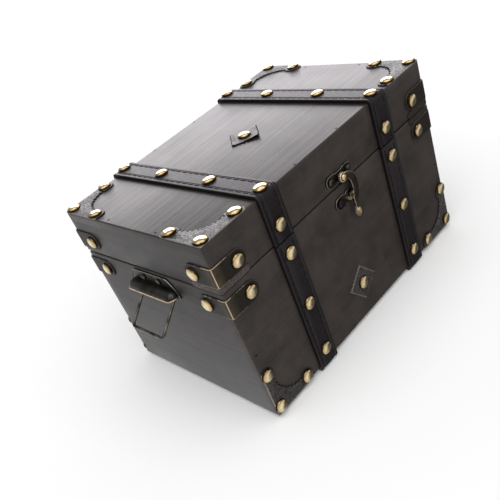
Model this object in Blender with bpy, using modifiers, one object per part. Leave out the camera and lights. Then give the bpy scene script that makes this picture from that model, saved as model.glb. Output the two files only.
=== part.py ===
"""A wooden keepsake chest: leather straps and corners, domed nails, a swing-hook latch and two bail handles.

Frame: +X runs along the front to the right, the front faces -Y, +Z is up, and z = 0 is the surface that
the chest stands on, which the undersides of its two body straps touch. Run it in Blender 4.5.
"""
import math

import bmesh
import bpy
from mathutils import Matrix, Vector

MM = 0.001
DEG = math.pi / 180

# Chest and boards
BOX_WIDTH = 220.0 * MM
BOX_DEPTH = 144.0 * MM
BODY_HEIGHT = 102.6 * MM
LID_HEIGHT = 32.4 * MM
SEAM_GAP = 0.8 * MM
WALL = 7.0 * MM
BASE_THICKNESS = 5.0 * MM
LID_TOP_THICKNESS = 6.0 * MM
BOARD_ROUND = 0.6 * MM
FIT_GAP = 0.3 * MM

# Straps
STRAP_WIDTH = 17.2 * MM
STRAP_THICKNESS = 2.2 * MM
STRAP_PATCH_CLEARANCE = 6.7 * MM
STRAP_BEND = 1.0 * MM

# Domed nails
NAIL_RADIUS = 4.8 * MM
NAIL_HEIGHT = 2.5 * MM
NAIL_RIM = 0.4 * MM
NAIL_SINK = 0.3 * MM
STRAP_TOP_NAIL_END_INSET = 2.6 * MM
STRAP_TOP_NAIL_MIDDLE_REACH = 24.6 * MM
STRAP_LID_NAIL_UP = 11.4 * MM
STRAP_BODY_NAIL_DOWN = 9.3 * MM
STRAP_BODY_NAIL_LOW_UP = 12.8 * MM

# Flat leather corners and diamonds; a corner's arm is a share of the box's width
PATCH_THICKNESS = 1.0 * MM
PATCH_ARM_SHARE = 38.4 / 220
PATCH_ARM_WIDTH = 7.6 * MM
PATCH_LOBE_LENGTH = 10.8 * MM
PATCH_SCALLOP = 1.0 * MM
PATCH_LOBE_RADIUS = 6.0 * MM
PATCH_CORNER_ROUND = 1.5 * MM
PATCH_NAIL_FROM_END = 6.2 * MM
PATCH_NAIL_INSET = 4.3 * MM
BOTTOM_PATCH_RISE = 1.8 * MM
DIAMOND_REACH = 14.3 * MM
DIAMOND_PINK = 0.55 * MM
LID_DIAMOND_ACROSS = 0.2 * MM
LID_DIAMOND_FORWARD = 2.6 * MM
LID_DIAMOND_TURN = 4.0 * DEG
FRONT_DIAMOND_ACROSS = -3.0 * MM
FRONT_DIAMOND_UP = 27.0 * MM
FRONT_DIAMOND_TURN = -4.7 * DEG

# Folded corner tabs
TAB_HEIGHT = 13.8 * MM
TAB_THICKNESS = 1.0 * MM
TAB_NAIL_REACH = 17.6 * MM
TAB_BEND = 1.0 * MM
LID_TAB_UP = 11.8 * MM
BODY_TAB_DOWN = 11.2 * MM

# Hinges
HINGE_STRAP_CLEARANCE = 4.7 * MM
HINGE_WIDTH = 30.0 * MM
HINGE_LEAF_HEIGHT = 14.0 * MM
HINGE_LEAF_THICKNESS = 1.0 * MM
KNUCKLE_RADIUS = 2.4 * MM
HINGE_PIN_RADIUS = 1.1 * MM
HINGE_PIN_PLAY = 0.08 * MM
HINGE_CORNER_ROUND = 3.0 * MM
HINGE_RELIEF = 0.45 * MM
HINGE_SCREW_ACROSS = 9.3 * MM
HINGE_SCREW_UP = 8.7 * MM
HINGE_SCREW_HEIGHT = 0.7 * MM

# Screws and sheet metal fittings
SHEET_THICKNESS = 0.9 * MM
SCREW_HEAD_RADIUS = 2.1 * MM
SCREW_HEAD_HEIGHT = 1.0 * MM
SCREW_SHANK_RADIUS = 0.9 * MM
SCREW_SHANK_LENGTH = 5.0 * MM
SCREW_SLOT_WIDTH = 0.5 * MM
SCREW_SLOT_DEPTH = 0.4 * MM

# A low round head from the middle of its top to its rim: shares of its radius and of its height
ROUND_HEAD_SHARES = ((0.0, 1.0), (0.6, 0.85), (1.0, 0.3), (1.0, 0.0))

# Latch
LATCH_ACROSS = 3.4 * MM
LATCH_PLATE_UP = 6.6 * MM
LATCH_PLATE_REACH = 13.0 * MM
LATCH_PLATE_LOBE = 4.0 * MM
LATCH_PLATE_WAIST = 3.2 * MM
KEEPER_DOWN = 10.2 * MM
KEEPER_REACH = 10.4 * MM
KEEPER_LOBE = 4.5 * MM
KEEPER_WAIST = 3.4 * MM
PIVOT_DROP = 1.0 * MM
POST_ACROSS = 1.1 * MM
POST_RADIUS = 1.2 * MM
POST_EDGE = 0.4 * MM
HOOK_THICKNESS = 1.8 * MM
HOOK_BOSS_RADIUS = 3.9 * MM
HOOK_BALL_RADIUS = 2.6 * MM
HOOK_BALL_HALF_THICKNESS = 2.1 * MM
HOOK_SWUNG_OFF = 10.0 * DEG
RIVET_RADIUS = 1.3 * MM
RIVET_SHOULDER_RADIUS = 2.4 * MM
RIVET_HEAD_RADIUS = 2.8 * MM
RIVET_HEAD_HEIGHT = 1.0 * MM
RIVET_PLAY = 0.08 * MM
RIVET_COVER = 2.0 * MM

# A lobed plate: its waist's half length as a share of its neck's, and its bends as shares of its lobe
WAIST_SHARE = 0.6
NECK_BEND_SHARE = 0.6
WAIST_BEND_SHARE = 0.3

# The hook's arm from its pivot: across, down and half its width, in shares of the pivot's distance to the post
HOOK_ARM_SHARES = (
    (0.00, 0.00, 0.150),
    (0.27, 0.05, 0.150),
    (0.46, 0.27, 0.170),
    (0.52, 0.56, 0.185),
    (0.50, 0.80, 0.175),
    (0.42, 1.04, 0.200),
    (0.35, 1.29, 0.115),
    (0.335, 1.56, 0.085),
    (0.33, 1.78, 0.085),
)

# Handles
HANDLE_DROP = 13.9 * MM
HANDLE_FORWARD = 0.9 * MM
HANDLE_PLATE_MARGIN = 0.6 * MM
HANDLE_PLATE_ABOVE = 12.4 * MM
HANDLE_PLATE_BELOW = 2.4 * MM
HANDLE_SCREW_ACROSS = 8.0 * MM
HANDLE_SCREW_UP = 7.9 * MM
HOOD_RADIUS = 4.4 * MM
HOOD_HALF_LENGTH = 24.2 * MM
HOOD_END = 2.4 * MM
TONGUE_RADIUS = 2.0 * MM
BAIL_WIRE_RADIUS = 1.05 * MM
BAIL_PLAY = 0.3 * MM
BAIL_LIFT = 0.4 * MM
BAIL_HALF_WIDTH = 16.3 * MM
BAIL_DROP = 26.5 * MM
BAIL_CORNER_ROUND = 2.6 * MM
BAIL_RAISED = 50.0 * DEG

# The handle plate's half outline, from the middle of its crest to the middle of its lower edge:
# across in shares of its reach, up in shares of its height, and the corner's round in shares of its height
HANDLE_PLATE_SHARES = (
    (0.74, 1.00, 0.30),
    (1.00, 0.38, 0.35),
    (1.00, 0.00, 0.08),
)

# Facets
ARC_STEPS = 3
SMALL_SIDES = 10
ROUND_SIDES = 14
EDGE_STEPS = 1
SCALLOPS = 7
SCALLOP_STEPS = 2
PINKS_PER_SIDE = 7
HOOK_STEPS = 3
HOOD_SIDES = 20
DOME_STEPS = 3
OVERRUN = 2.0 * MM

# Places that follow from the sizes above
WOOD_BOTTOM = STRAP_THICKNESS + FIT_GAP
SEAM_LOW = WOOD_BOTTOM + BODY_HEIGHT
SEAM_HIGH = SEAM_LOW + SEAM_GAP
SEAM = (SEAM_LOW + SEAM_HIGH) / 2
LID_TOP = SEAM_HIGH + LID_HEIGHT
HALF_WIDTH = BOX_WIDTH / 2
HALF_DEPTH = BOX_DEPTH / 2
PATCH_ARM = BOX_WIDTH * PATCH_ARM_SHARE
PATCH_HOLLOW_RADIUS = PATCH_ARM - PATCH_ARM_WIDTH - PATCH_LOBE_LENGTH
PATCH_NAIL_REACH = PATCH_ARM - PATCH_NAIL_FROM_END
STRAP_ACROSS = HALF_WIDTH - PATCH_ARM - STRAP_PATCH_CLEARANCE - STRAP_WIDTH / 2
HINGE_ACROSS = STRAP_ACROSS - STRAP_WIDTH / 2 - HINGE_STRAP_CLEARANCE - HINGE_WIDTH / 2
HANDLE_UP = SEAM_LOW - HANDLE_DROP
HINGE_AXIS = Vector((0, HALF_DEPTH + FIT_GAP + KNUCKLE_RADIUS, SEAM))
PIVOT_UP = SEAM_HIGH + LATCH_PLATE_UP - PIVOT_DROP
POST_UP = SEAM_LOW - KEEPER_DOWN
HOOK_REACH = math.hypot(POST_ACROSS, PIVOT_UP - POST_UP)
HOOK_STANDOFF = FIT_GAP + SCREW_HEAD_HEIGHT + FIT_GAP
HOOK_OUT = FIT_GAP + SHEET_THICKNESS + HOOK_STANDOFF
HOOD_STRAIGHT = HOOD_HALF_LENGTH - HOOD_END
BAIL_OUT = FIT_GAP + SHEET_THICKNESS + BAIL_LIFT + BAIL_WIRE_RADIUS
BAIL_SLID = HOOD_STRAIGHT - BAIL_HALF_WIDTH
TONGUE_HALF_LENGTH = BAIL_HALF_WIDTH - BAIL_SLID - BAIL_CORNER_ROUND

WOOD = ("stained_wood", (0.045, 0.040, 0.040), 0.42, 0.0)
LEATHER = ("strap_leather", (0.028, 0.022, 0.028), 0.48, 0.0)
CORNER_LEATHER = ("corner_leather", (0.050, 0.042, 0.036), 0.45, 0.0)
TAB_LEATHER = ("corner_tab_leather", (0.060, 0.048, 0.030), 0.38, 0.3)
BRONZE = ("antique_bronze", (0.070, 0.060, 0.045), 0.35, 0.9)

FACES = {"front": (0.0, HALF_DEPTH), "right": (90 * DEG, HALF_WIDTH), "back": (180 * DEG, HALF_DEPTH),
         "left": (-90 * DEG, HALF_WIDTH)}
SIDES = (("left", -1), ("right", 1))


def clear_scene():
    """Empty the file, so that it holds nothing but the chest."""
    for item in list(bpy.data.objects):
        bpy.data.objects.remove(item, do_unlink=True)


def new_collection(name):
    """Add a collection to the scene."""
    group = bpy.data.collections.new(name)
    bpy.context.scene.collection.children.link(group)
    return group


def material(finish):
    """Return the finish's material, made the first time it is asked for."""
    name, colour, roughness, metallic = finish
    made = bpy.data.materials.get(name)
    if made is None:
        made = bpy.data.materials.new(name)
        made.use_nodes = True
        shader = made.node_tree.nodes["Principled BSDF"]
        shader.inputs["Base Color"].default_value = (*colour, 1.0)
        shader.inputs["Roughness"].default_value = roughness
        shader.inputs["Metallic"].default_value = metallic
        made.diffuse_color = (*colour, 1.0)
    return made


def evaluated_mesh(item):
    """Return the object's mesh with its modifiers, and remove the object."""
    bpy.context.view_layer.update()
    mesh = bpy.data.meshes.new_from_object(item.evaluated_get(bpy.context.evaluated_depsgraph_get()))
    bpy.data.objects.remove(item, do_unlink=True)
    return mesh


def tidy_mesh(mesh):
    """Merge loose caps and turn every face outwards."""
    shape = bmesh.new()
    shape.from_mesh(mesh)
    bmesh.ops.remove_doubles(shape, verts=shape.verts, dist=FIT_GAP / 100)
    bmesh.ops.dissolve_degenerate(shape, edges=shape.edges, dist=FIT_GAP / 100)
    bmesh.ops.recalc_face_normals(shape, faces=shape.faces)
    shape.to_mesh(mesh)
    shape.free()
    return mesh


def rounded(corners, steps=ARC_STEPS):
    """Turn (x, y, radius) corners of a closed outline into points, with an arc at each corner."""
    points = []
    for index, (x, y, radius) in enumerate(corners):
        here = Vector((x, y))
        before = Vector(corners[index - 1][:2]) - here
        after = Vector(corners[(index + 1) % len(corners)][:2]) - here
        angle = before.angle(after)
        if radius <= 0 or angle > 179 * DEG:
            points.append(here)
            continue
        setback = min(radius / math.tan(angle / 2), before.length / 2, after.length / 2)
        bend = setback * math.tan(angle / 2)
        middle = (before.normalized() + after.normalized()).normalized()
        centre = here + middle * (bend / math.sin(angle / 2))
        start = here + before.normalized() * setback - centre
        turn = start.angle_signed(here + after.normalized() * setback - centre)
        for step in range(steps + 1):
            points.append(centre + Matrix.Rotation(-turn * step / steps, 2) @ start)
    return points


def sheet(points, thickness):
    """Return a flat piece of an outline in x and y, with its back at z = 0 and its front at the thickness."""
    curve = bpy.data.curves.new("outline", "CURVE")
    curve.dimensions = "2D"
    curve.fill_mode = "BOTH"
    curve.extrude = thickness / 2
    spline = curve.splines.new("POLY")
    spline.points.add(len(points) - 1)
    for place, point in zip(spline.points, points):
        place.co = (point[0], point[1], 0, 1)
    spline.use_cyclic_u = True
    item = bpy.data.objects.new("outline", curve)
    bpy.context.scene.collection.objects.link(item)
    mesh = tidy_mesh(evaluated_mesh(item))
    mesh.transform(Matrix.Translation((0, 0, thickness / 2)))
    bpy.data.curves.remove(curve)
    return mesh


def wire_loop(points, radius):
    """Return a round wire bent into a closed loop along a list of points."""
    curve = bpy.data.curves.new("wire", "CURVE")
    curve.dimensions = "3D"
    curve.bevel_depth = radius
    curve.bevel_resolution = 1
    spline = curve.splines.new("POLY")
    spline.points.add(len(points) - 1)
    for place, point in zip(spline.points, points):
        place.co = (*point, 1)
    spline.use_cyclic_u = True
    item = bpy.data.objects.new("wire", curve)
    bpy.context.scene.collection.objects.link(item)
    mesh = tidy_mesh(evaluated_mesh(item))
    bpy.data.curves.remove(curve)
    return mesh


def turned(profile, sides):
    """Return a solid of revolution about z from (radius, height) points that run from top to bottom."""
    mesh = bpy.data.meshes.new("profile")
    points = [(radius, 0, height) for radius, height in profile]
    mesh.from_pydata(points, [(step, step + 1) for step in range(len(points) - 1)], [])
    item = bpy.data.objects.new("profile", mesh)
    bpy.context.scene.collection.objects.link(item)
    screw = item.modifiers.new("turn", "SCREW")
    screw.steps = sides
    screw.render_steps = sides
    screw.use_merge_vertices = True
    screw.merge_threshold = FIT_GAP / 100
    turned_mesh = tidy_mesh(evaluated_mesh(item))
    bpy.data.meshes.remove(mesh)
    return turned_mesh


def rod(radius, low, high, sides=ROUND_SIDES):
    """Return a plain round bar along z."""
    return turned([(0, high), (radius, high), (radius, low), (0, low)], sides)


def trimmed(mesh, place, normal):
    """Cut away what lies behind a plane, and close the cut."""
    shape = bmesh.new()
    shape.from_mesh(mesh)
    cut = bmesh.ops.bisect_plane(shape, geom=[*shape.verts, *shape.edges, *shape.faces], plane_co=place,
                                 plane_no=normal, clear_inner=True)
    rim = [item for item in cut["geom_cut"] if isinstance(item, bmesh.types.BMEdge)]
    bmesh.ops.contextual_create(shape, geom=rim)
    shape.to_mesh(mesh)
    shape.free()
    return tidy_mesh(mesh)


def block(size):
    """Return a rectangular block about its centre."""
    mesh = bpy.data.meshes.new("block")
    shape = bmesh.new()
    bmesh.ops.create_cube(shape, size=1)
    bmesh.ops.scale(shape, vec=size, verts=shape.verts)
    shape.to_mesh(mesh)
    shape.free()
    return mesh


def joined(parts):
    """Return one mesh that holds each (mesh, matrix) pair, still as separate bodies."""
    whole = bmesh.new()
    for mesh, matrix in parts:
        copy = mesh.copy()
        copy.transform(matrix)
        whole.from_mesh(copy)
        bpy.data.meshes.remove(copy)
    mesh = bpy.data.meshes.new("joined")
    whole.to_mesh(mesh)
    whole.free()
    return mesh


class Chest:
    """The collections, and the empties that carry what moves."""

    parts = None
    cutters = None
    lid = None


def add_piece(name, mesh, finish, matrix, carrier=None):
    """Add a named sub-part at its place, carried by an empty if it moves."""
    item = bpy.data.objects.new(name, mesh)
    Chest.parts.objects.link(item)
    item.matrix_world = matrix
    mesh.materials.clear()
    mesh.materials.append(material(finish))
    mesh.shade_smooth()
    mesh.set_sharp_from_angle(angle=35 * DEG)
    if carrier is not None:
        item.parent = carrier
        item.matrix_parent_inverse = Matrix.Translation(carrier.location).inverted()
    return item


def change(item, operation, parts):
    """Unite the piece with, or cut from it, all (mesh, matrix) tools, whose places are in the piece's frame."""
    tool = bpy.data.objects.new(item.name + "_" + operation.lower(), joined(parts))
    Chest.cutters.objects.link(tool)
    tool.matrix_world = item.matrix_basis.copy()
    if item.parent is not None:
        tool.parent = item.parent
        tool.matrix_parent_inverse = item.matrix_parent_inverse.copy()
    tool.hide_render = True
    tool.display_type = "WIRE"
    boolean = item.modifiers.new(operation.lower(), "BOOLEAN")
    boolean.operation = operation
    boolean.solver = "EXACT"
    boolean.object = tool


def on_face(face, across, up, out):
    """Return the frame on an upright face: local x runs across, local y up and local z out of it."""
    turn, half = FACES[face]
    place = Matrix.Translation((across, -half - out, up))
    return Matrix.Rotation(turn, 4, "Z") @ place @ Matrix.Rotation(90 * DEG, 4, "X")


def nail():
    """A domed nail head: a thin upright rim under a round crown, sunk a little into what it holds."""
    crown = [(NAIL_RADIUS * math.sin(angle * DEG), NAIL_RIM + (NAIL_HEIGHT - NAIL_RIM) * math.cos(angle * DEG))
             for angle in (0, 35, 65, 90)]
    crown[0] = (0, NAIL_HEIGHT)
    crown[-1] = (NAIL_RADIUS, NAIL_RIM)
    return turned([*crown, (NAIL_RADIUS, -NAIL_SINK), (0, -NAIL_SINK)], SMALL_SIDES)


def round_head(radius, height, seat=0):
    """The profile of a low round head that sits at a height."""
    return [(across * radius, seat + up * height) for across, up in ROUND_HEAD_SHARES]


def screw_mesh():
    """A round-head screw, with the underside of its head at z = 0."""
    return turned([*round_head(SCREW_HEAD_RADIUS, SCREW_HEAD_HEIGHT), (SCREW_SHANK_RADIUS, 0),
                   (SCREW_SHANK_RADIUS, -SCREW_SHANK_LENGTH), (0, -SCREW_SHANK_LENGTH - SCREW_SHANK_RADIUS)],
                  SMALL_SIDES)


def slot_tool():
    """The block that cuts a screw's slot."""
    size = (SCREW_HEAD_RADIUS * 2 + OVERRUN, SCREW_SLOT_WIDTH, SCREW_SLOT_DEPTH + OVERRUN)
    return block(size), Matrix.Translation((0, 0, SCREW_HEAD_HEIGHT - SCREW_SLOT_DEPTH + size[2] / 2))


def add_screw(name, place, turn, carrier=None):
    """Add a slotted screw whose head sits on a plate at the place."""
    seat = place @ Matrix.Translation((0, 0, FIT_GAP)) @ Matrix.Rotation(turn, 4, "Z")
    item = add_piece(name, screw_mesh(), BRONZE, seat, carrier)
    change(item, "DIFFERENCE", [slot_tool()])
    return item


def screw_hole(place):
    """The tool that clears a screw's shank."""
    depth = SCREW_SHANK_LENGTH + SCREW_SHANK_RADIUS + FIT_GAP
    return rod(SCREW_SHANK_RADIUS + FIT_GAP, -depth, OVERRUN, SMALL_SIDES), place


def add_board(name, size, centre, carrier=None, holes=()):
    """Add a rectangular board with softened edges, and clear its screws."""
    item = add_piece(name, block(size), WOOD, Matrix.Translation(centre), carrier)
    bevel = item.modifiers.new("softened edges", "BEVEL")
    bevel.width = BOARD_ROUND
    bevel.segments = EDGE_STEPS
    if holes:
        home = Matrix.Translation(centre).inverted()
        change(item, "DIFFERENCE", [(mesh, home @ place) for mesh, place in holes])
    return item


def on_handle(side, across, up, out):
    """Return the frame of a spot on a handle, measured from its bail's axis at the middle of its plate."""
    forward = HANDLE_FORWARD if side == "left" else -HANDLE_FORWARD
    return on_face(side, across + forward, HANDLE_UP + up, out)


def handle_screw_places(side):
    """The two screws of a handle, at the front of its plate."""
    out = FIT_GAP + SHEET_THICKNESS
    return [on_handle(side, across, HANDLE_SCREW_UP, out) for across in (-HANDLE_SCREW_ACROSS, HANDLE_SCREW_ACROSS)]


def latch_screw_places(up, reach, lobe):
    """The two screws of a latch plate, one in each lobe."""
    out = FIT_GAP + SHEET_THICKNESS
    return [on_face("front", LATCH_ACROSS + sign * (reach - lobe), up, out) for sign in (-1, 1)]


def rivet_place():
    """The latch's pivot, at the front of its plate."""
    return on_face("front", LATCH_ACROSS, PIVOT_UP, FIT_GAP + SHEET_THICKNESS)


def make_body_boards():
    """Four walls, the front and back over the ends of the sides, round an inset base."""
    middle = WOOD_BOTTOM + BODY_HEIGHT / 2
    keeper_holes = [screw_hole(place) for place in latch_screw_places(POST_UP, KEEPER_REACH, KEEPER_LOBE)]
    for name, sign, holes in (("body_front_panel", -1, keeper_holes), ("body_back_panel", 1, ())):
        centre = (0, sign * (HALF_DEPTH - WALL / 2), middle)
        add_board(name, (BOX_WIDTH, WALL, BODY_HEIGHT), centre, None, holes)
    inside_depth = BOX_DEPTH - 2 * WALL - 2 * FIT_GAP
    for side, sign in SIDES:
        holes = [screw_hole(place) for place in handle_screw_places(side)]
        centre = (sign * (HALF_WIDTH - WALL / 2), 0, middle)
        add_board("body_" + side + "_panel", (WALL, inside_depth, BODY_HEIGHT), centre, None, holes)
    base = (BOX_WIDTH - 2 * WALL - 2 * FIT_GAP, inside_depth, BASE_THICKNESS)
    add_board("base_board", base, (0, 0, WOOD_BOTTOM + BASE_THICKNESS / 2))


def make_lid_boards():
    """Four rails under a top board that reaches their outer faces."""
    rail = LID_HEIGHT - LID_TOP_THICKNESS - FIT_GAP
    up = SEAM_HIGH + rail / 2
    latch_holes = [screw_hole(place)
                   for place in latch_screw_places(SEAM_HIGH + LATCH_PLATE_UP, LATCH_PLATE_REACH, LATCH_PLATE_LOBE)]
    latch_holes.append((rod(RIVET_RADIUS + FIT_GAP, -WALL + RIVET_COVER - FIT_GAP, OVERRUN), rivet_place()))
    for name, sign, holes in (("lid_front_rail", -1, latch_holes), ("lid_back_rail", 1, ())):
        add_board(name, (BOX_WIDTH, WALL, rail), (0, sign * (HALF_DEPTH - WALL / 2), up), Chest.lid, holes)
    inside_depth = BOX_DEPTH - 2 * WALL - 2 * FIT_GAP
    for side, sign in SIDES:
        centre = (sign * (HALF_WIDTH - WALL / 2), 0, up)
        add_board("lid_" + side + "_rail", (WALL, inside_depth, rail), centre, Chest.lid)
    top = (BOX_WIDTH, BOX_DEPTH, LID_TOP_THICKNESS)
    add_board("lid_top_board", top, (0, 0, LID_TOP - LID_TOP_THICKNESS / 2), Chest.lid)


def strap_outline(free_end, closed_side):
    """The strap's U in depth and height: free at one height, and round the boards at the other."""
    inner = HALF_DEPTH + FIT_GAP
    outer = inner + STRAP_THICKNESS
    away = 1 if closed_side > free_end else -1
    far = closed_side + away * FIT_GAP
    return rounded([
        (-outer, free_end, 0), (-outer, far + away * STRAP_THICKNESS, STRAP_BEND + STRAP_THICKNESS),
        (outer, far + away * STRAP_THICKNESS, STRAP_BEND + STRAP_THICKNESS), (outer, free_end, 0),
        (inner, free_end, 0), (inner, far, STRAP_BEND), (-inner, far, STRAP_BEND), (-inner, free_end, 0)])


def make_straps():
    """Two straps round the body and two over the lid, whose ends meet at the seam."""
    head = nail()
    on_strap = FIT_GAP + STRAP_THICKNESS
    high, low = SEAM_LOW - STRAP_BODY_NAIL_DOWN, WOOD_BOTTOM + STRAP_BODY_NAIL_LOW_UP
    body_ups = (high, (high + low) / 2, low)
    end_reach = HALF_DEPTH - STRAP_TOP_NAIL_END_INSET
    top_reaches = (-end_reach, -STRAP_TOP_NAIL_MIDDLE_REACH, STRAP_TOP_NAIL_MIDDLE_REACH, end_reach)
    upright = Matrix.Rotation(90 * DEG, 4, "Z") @ Matrix.Rotation(90 * DEG, 4, "X")
    for side, sign in SIDES:
        across = sign * STRAP_ACROSS
        place = Matrix.Translation((across - STRAP_WIDTH / 2, 0, 0)) @ upright
        body = add_piece("body_strap_" + side, sheet(strap_outline(SEAM_LOW, WOOD_BOTTOM), STRAP_WIDTH), LEATHER, place)
        nails = [on_face(face, face_sign * across, up, on_strap)
                 for face, face_sign in (("front", 1), ("back", -1)) for up in body_ups]
        change(body, "UNION", [(head, place.inverted() @ nail_place) for nail_place in nails])
        lid = add_piece("lid_strap_" + side, sheet(strap_outline(SEAM_HIGH, LID_TOP), STRAP_WIDTH), LEATHER, place,
                        Chest.lid)
        nails = [on_face(face, face_sign * across, SEAM + STRAP_LID_NAIL_UP, on_strap)
                 for face, face_sign in (("front", 1), ("back", -1))]
        nails += [Matrix.Translation((across, reach, LID_TOP + on_strap)) for reach in top_reaches]
        change(lid, "UNION", [(head, place.inverted() @ nail_place) for nail_place in nails])


def patch_outline(along, upward):
    """A corner patch: two short arms with a scalloped hollow between them, and a lobe round each end nail."""
    lobe_top = PATCH_NAIL_INSET + PATCH_LOBE_RADIUS
    hollow = PATCH_ARM_WIDTH + PATCH_HOLLOW_RADIUS
    arm = [(PATCH_ARM, 0, PATCH_LOBE_RADIUS / 2), (PATCH_ARM, lobe_top, PATCH_LOBE_RADIUS),
           (hollow, lobe_top, PATCH_LOBE_RADIUS / 3)]
    scallops = []
    for step in range(SCALLOPS * SCALLOP_STEPS + 1):
        angle = 90 * DEG * step / (SCALLOPS * SCALLOP_STEPS)
        bite = PATCH_SCALLOP * abs(math.sin(math.pi * step / SCALLOP_STEPS))
        reach = PATCH_HOLLOW_RADIUS - PATCH_SCALLOP + bite
        scallops.append((hollow - reach * math.sin(angle), hollow - reach * math.cos(angle), 0))
    other_arm = [(y, x, bend) for x, y, bend in reversed(arm)]
    points = rounded([(0, 0, PATCH_CORNER_ROUND), *arm, *scallops, *other_arm])
    return [(along * point.x, upward * point.y) for point in points]


def patch_nails(along, upward, rise):
    """The three nails of a patch, in its own frame."""
    head = nail()
    places = ((PATCH_NAIL_INSET, PATCH_NAIL_INSET), (PATCH_NAIL_REACH, PATCH_NAIL_INSET),
              (PATCH_NAIL_INSET, PATCH_NAIL_REACH))
    return [(head, Matrix.Translation((along * x, upward * (y + rise), PATCH_THICKNESS))) for x, y in places]


def make_patches():
    """A leather patch in each corner of the lid's top and of the body's foot, front and back."""
    for side, along in SIDES:
        for end, forward in (("front", -1), ("back", 1)):
            place = Matrix.Translation((along * HALF_WIDTH, forward * HALF_DEPTH, LID_TOP + FIT_GAP))
            mesh = sheet(patch_outline(-along, -forward), PATCH_THICKNESS)
            lid = add_piece("lid_patch_" + end + "_" + side, mesh, CORNER_LEATHER, place, Chest.lid)
            change(lid, "UNION", patch_nails(-along, -forward, 0))
            across = along if end == "front" else -along
            place = on_face(end, across * HALF_WIDTH, WOOD_BOTTOM, FIT_GAP)
            mesh = sheet(patch_outline(-across, 1), PATCH_THICKNESS)
            foot = add_piece("foot_patch_" + end + "_" + side, mesh, CORNER_LEATHER, place)
            change(foot, "UNION", patch_nails(-across, 1, BOTTOM_PATCH_RISE))


def diamond():
    """A square of leather on its corner, with pinked edges."""
    corners = [Vector((DIAMOND_REACH, 0)), Vector((0, DIAMOND_REACH)), Vector((-DIAMOND_REACH, 0)),
               Vector((0, -DIAMOND_REACH))]
    points = []
    for index, corner in enumerate(corners):
        side = corners[(index + 1) % 4] - corner
        inward = Vector((-side.y, side.x)).normalized() * DIAMOND_PINK
        for step in range(PINKS_PER_SIDE):
            points.append(corner + side * (step / PINKS_PER_SIDE))
            points.append(corner + side * ((step + 0.5) / PINKS_PER_SIDE) + inward)
    return sheet(points, PATCH_THICKNESS)


def make_diamonds():
    """One diamond in the middle of the lid and one on the front, each held by a nail."""
    centre = [(nail(), Matrix.Translation((0, 0, PATCH_THICKNESS)))]
    place = Matrix.Translation((-LID_DIAMOND_ACROSS, -LID_DIAMOND_FORWARD, LID_TOP + FIT_GAP))
    place = place @ Matrix.Rotation(LID_DIAMOND_TURN, 4, "Z")
    change(add_piece("lid_diamond", diamond(), CORNER_LEATHER, place, Chest.lid), "UNION", centre)
    place = on_face("front", FRONT_DIAMOND_ACROSS, WOOD_BOTTOM + FRONT_DIAMOND_UP, FIT_GAP)
    place = place @ Matrix.Rotation(FRONT_DIAMOND_TURN, 4, "Z")
    change(add_piece("front_diamond", diamond(), CORNER_LEATHER, place), "UNION", centre)


def folded_tab():
    """A strip with round ends, folded round an upright corner whose edge is at the origin.

    One leg runs along +X on the face that looks to -Y, the other along +Y on the face that looks to -X.
    """
    half = TAB_HEIGHT / 2
    bend_length = (TAB_BEND + TAB_THICKNESS / 2) * 45 * DEG
    corner = FIT_GAP - TAB_BEND
    leg = TAB_NAIL_REACH + corner + bend_length
    points = rounded([(-leg - half, -half, half), (leg + half, -half, half), (leg + half, half, half),
                      (-leg - half, half, half)])
    flat = sheet(points, TAB_THICKNESS)
    shape = bmesh.new()
    shape.from_mesh(flat)
    for step in range(-ARC_STEPS, ARC_STEPS + 1):
        cut = Vector((bend_length * step / ARC_STEPS, 0, 0))
        bmesh.ops.bisect_plane(shape, geom=[*shape.verts, *shape.edges, *shape.faces], plane_co=cut,
                               plane_no=(1, 0, 0))
    for vert in shape.verts:
        run, up, out = vert.co
        reach = TAB_BEND + out
        if abs(run) > bend_length * 1.001:
            past = abs(run) - bend_length
            place = (past, -reach) if run > 0 else (-reach, past)
        else:
            angle = (225 + 45 * run / bend_length) * DEG
            place = (reach * math.cos(angle), reach * math.sin(angle))
        vert.co = (place[0] - corner, place[1] - corner, up)
    shape.to_mesh(flat)
    shape.free()
    return tidy_mesh(flat)


def make_tabs():
    """Eight folded tabs: one above and one below the seam on each upright corner."""
    out = FIT_GAP + TAB_THICKNESS
    heads = [(nail(), Matrix.Translation((TAB_NAIL_REACH, -out, 0)) @ Matrix.Rotation(90 * DEG, 4, "X")),
             (nail(), Matrix.Translation((-out, TAB_NAIL_REACH, 0)) @ Matrix.Rotation(-90 * DEG, 4, "Y"))]
    corners = (("front_left", -1, -1), ("front_right", 1, -1), ("back_right", 1, 1), ("back_left", -1, 1))
    rows = (("lid_tab_", SEAM + LID_TAB_UP, Chest.lid), ("body_tab_", SEAM - BODY_TAB_DOWN, None))
    for turn, (corner, x_sign, y_sign) in enumerate(corners):
        for row, up, carrier in rows:
            place = Matrix.Translation((x_sign * HALF_WIDTH, y_sign * HALF_DEPTH, up))
            place = place @ Matrix.Rotation(90 * DEG * turn, 4, "Z")
            change(add_piece(row + corner, folded_tab(), TAB_LEATHER, place, carrier), "UNION", heads)


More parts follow.
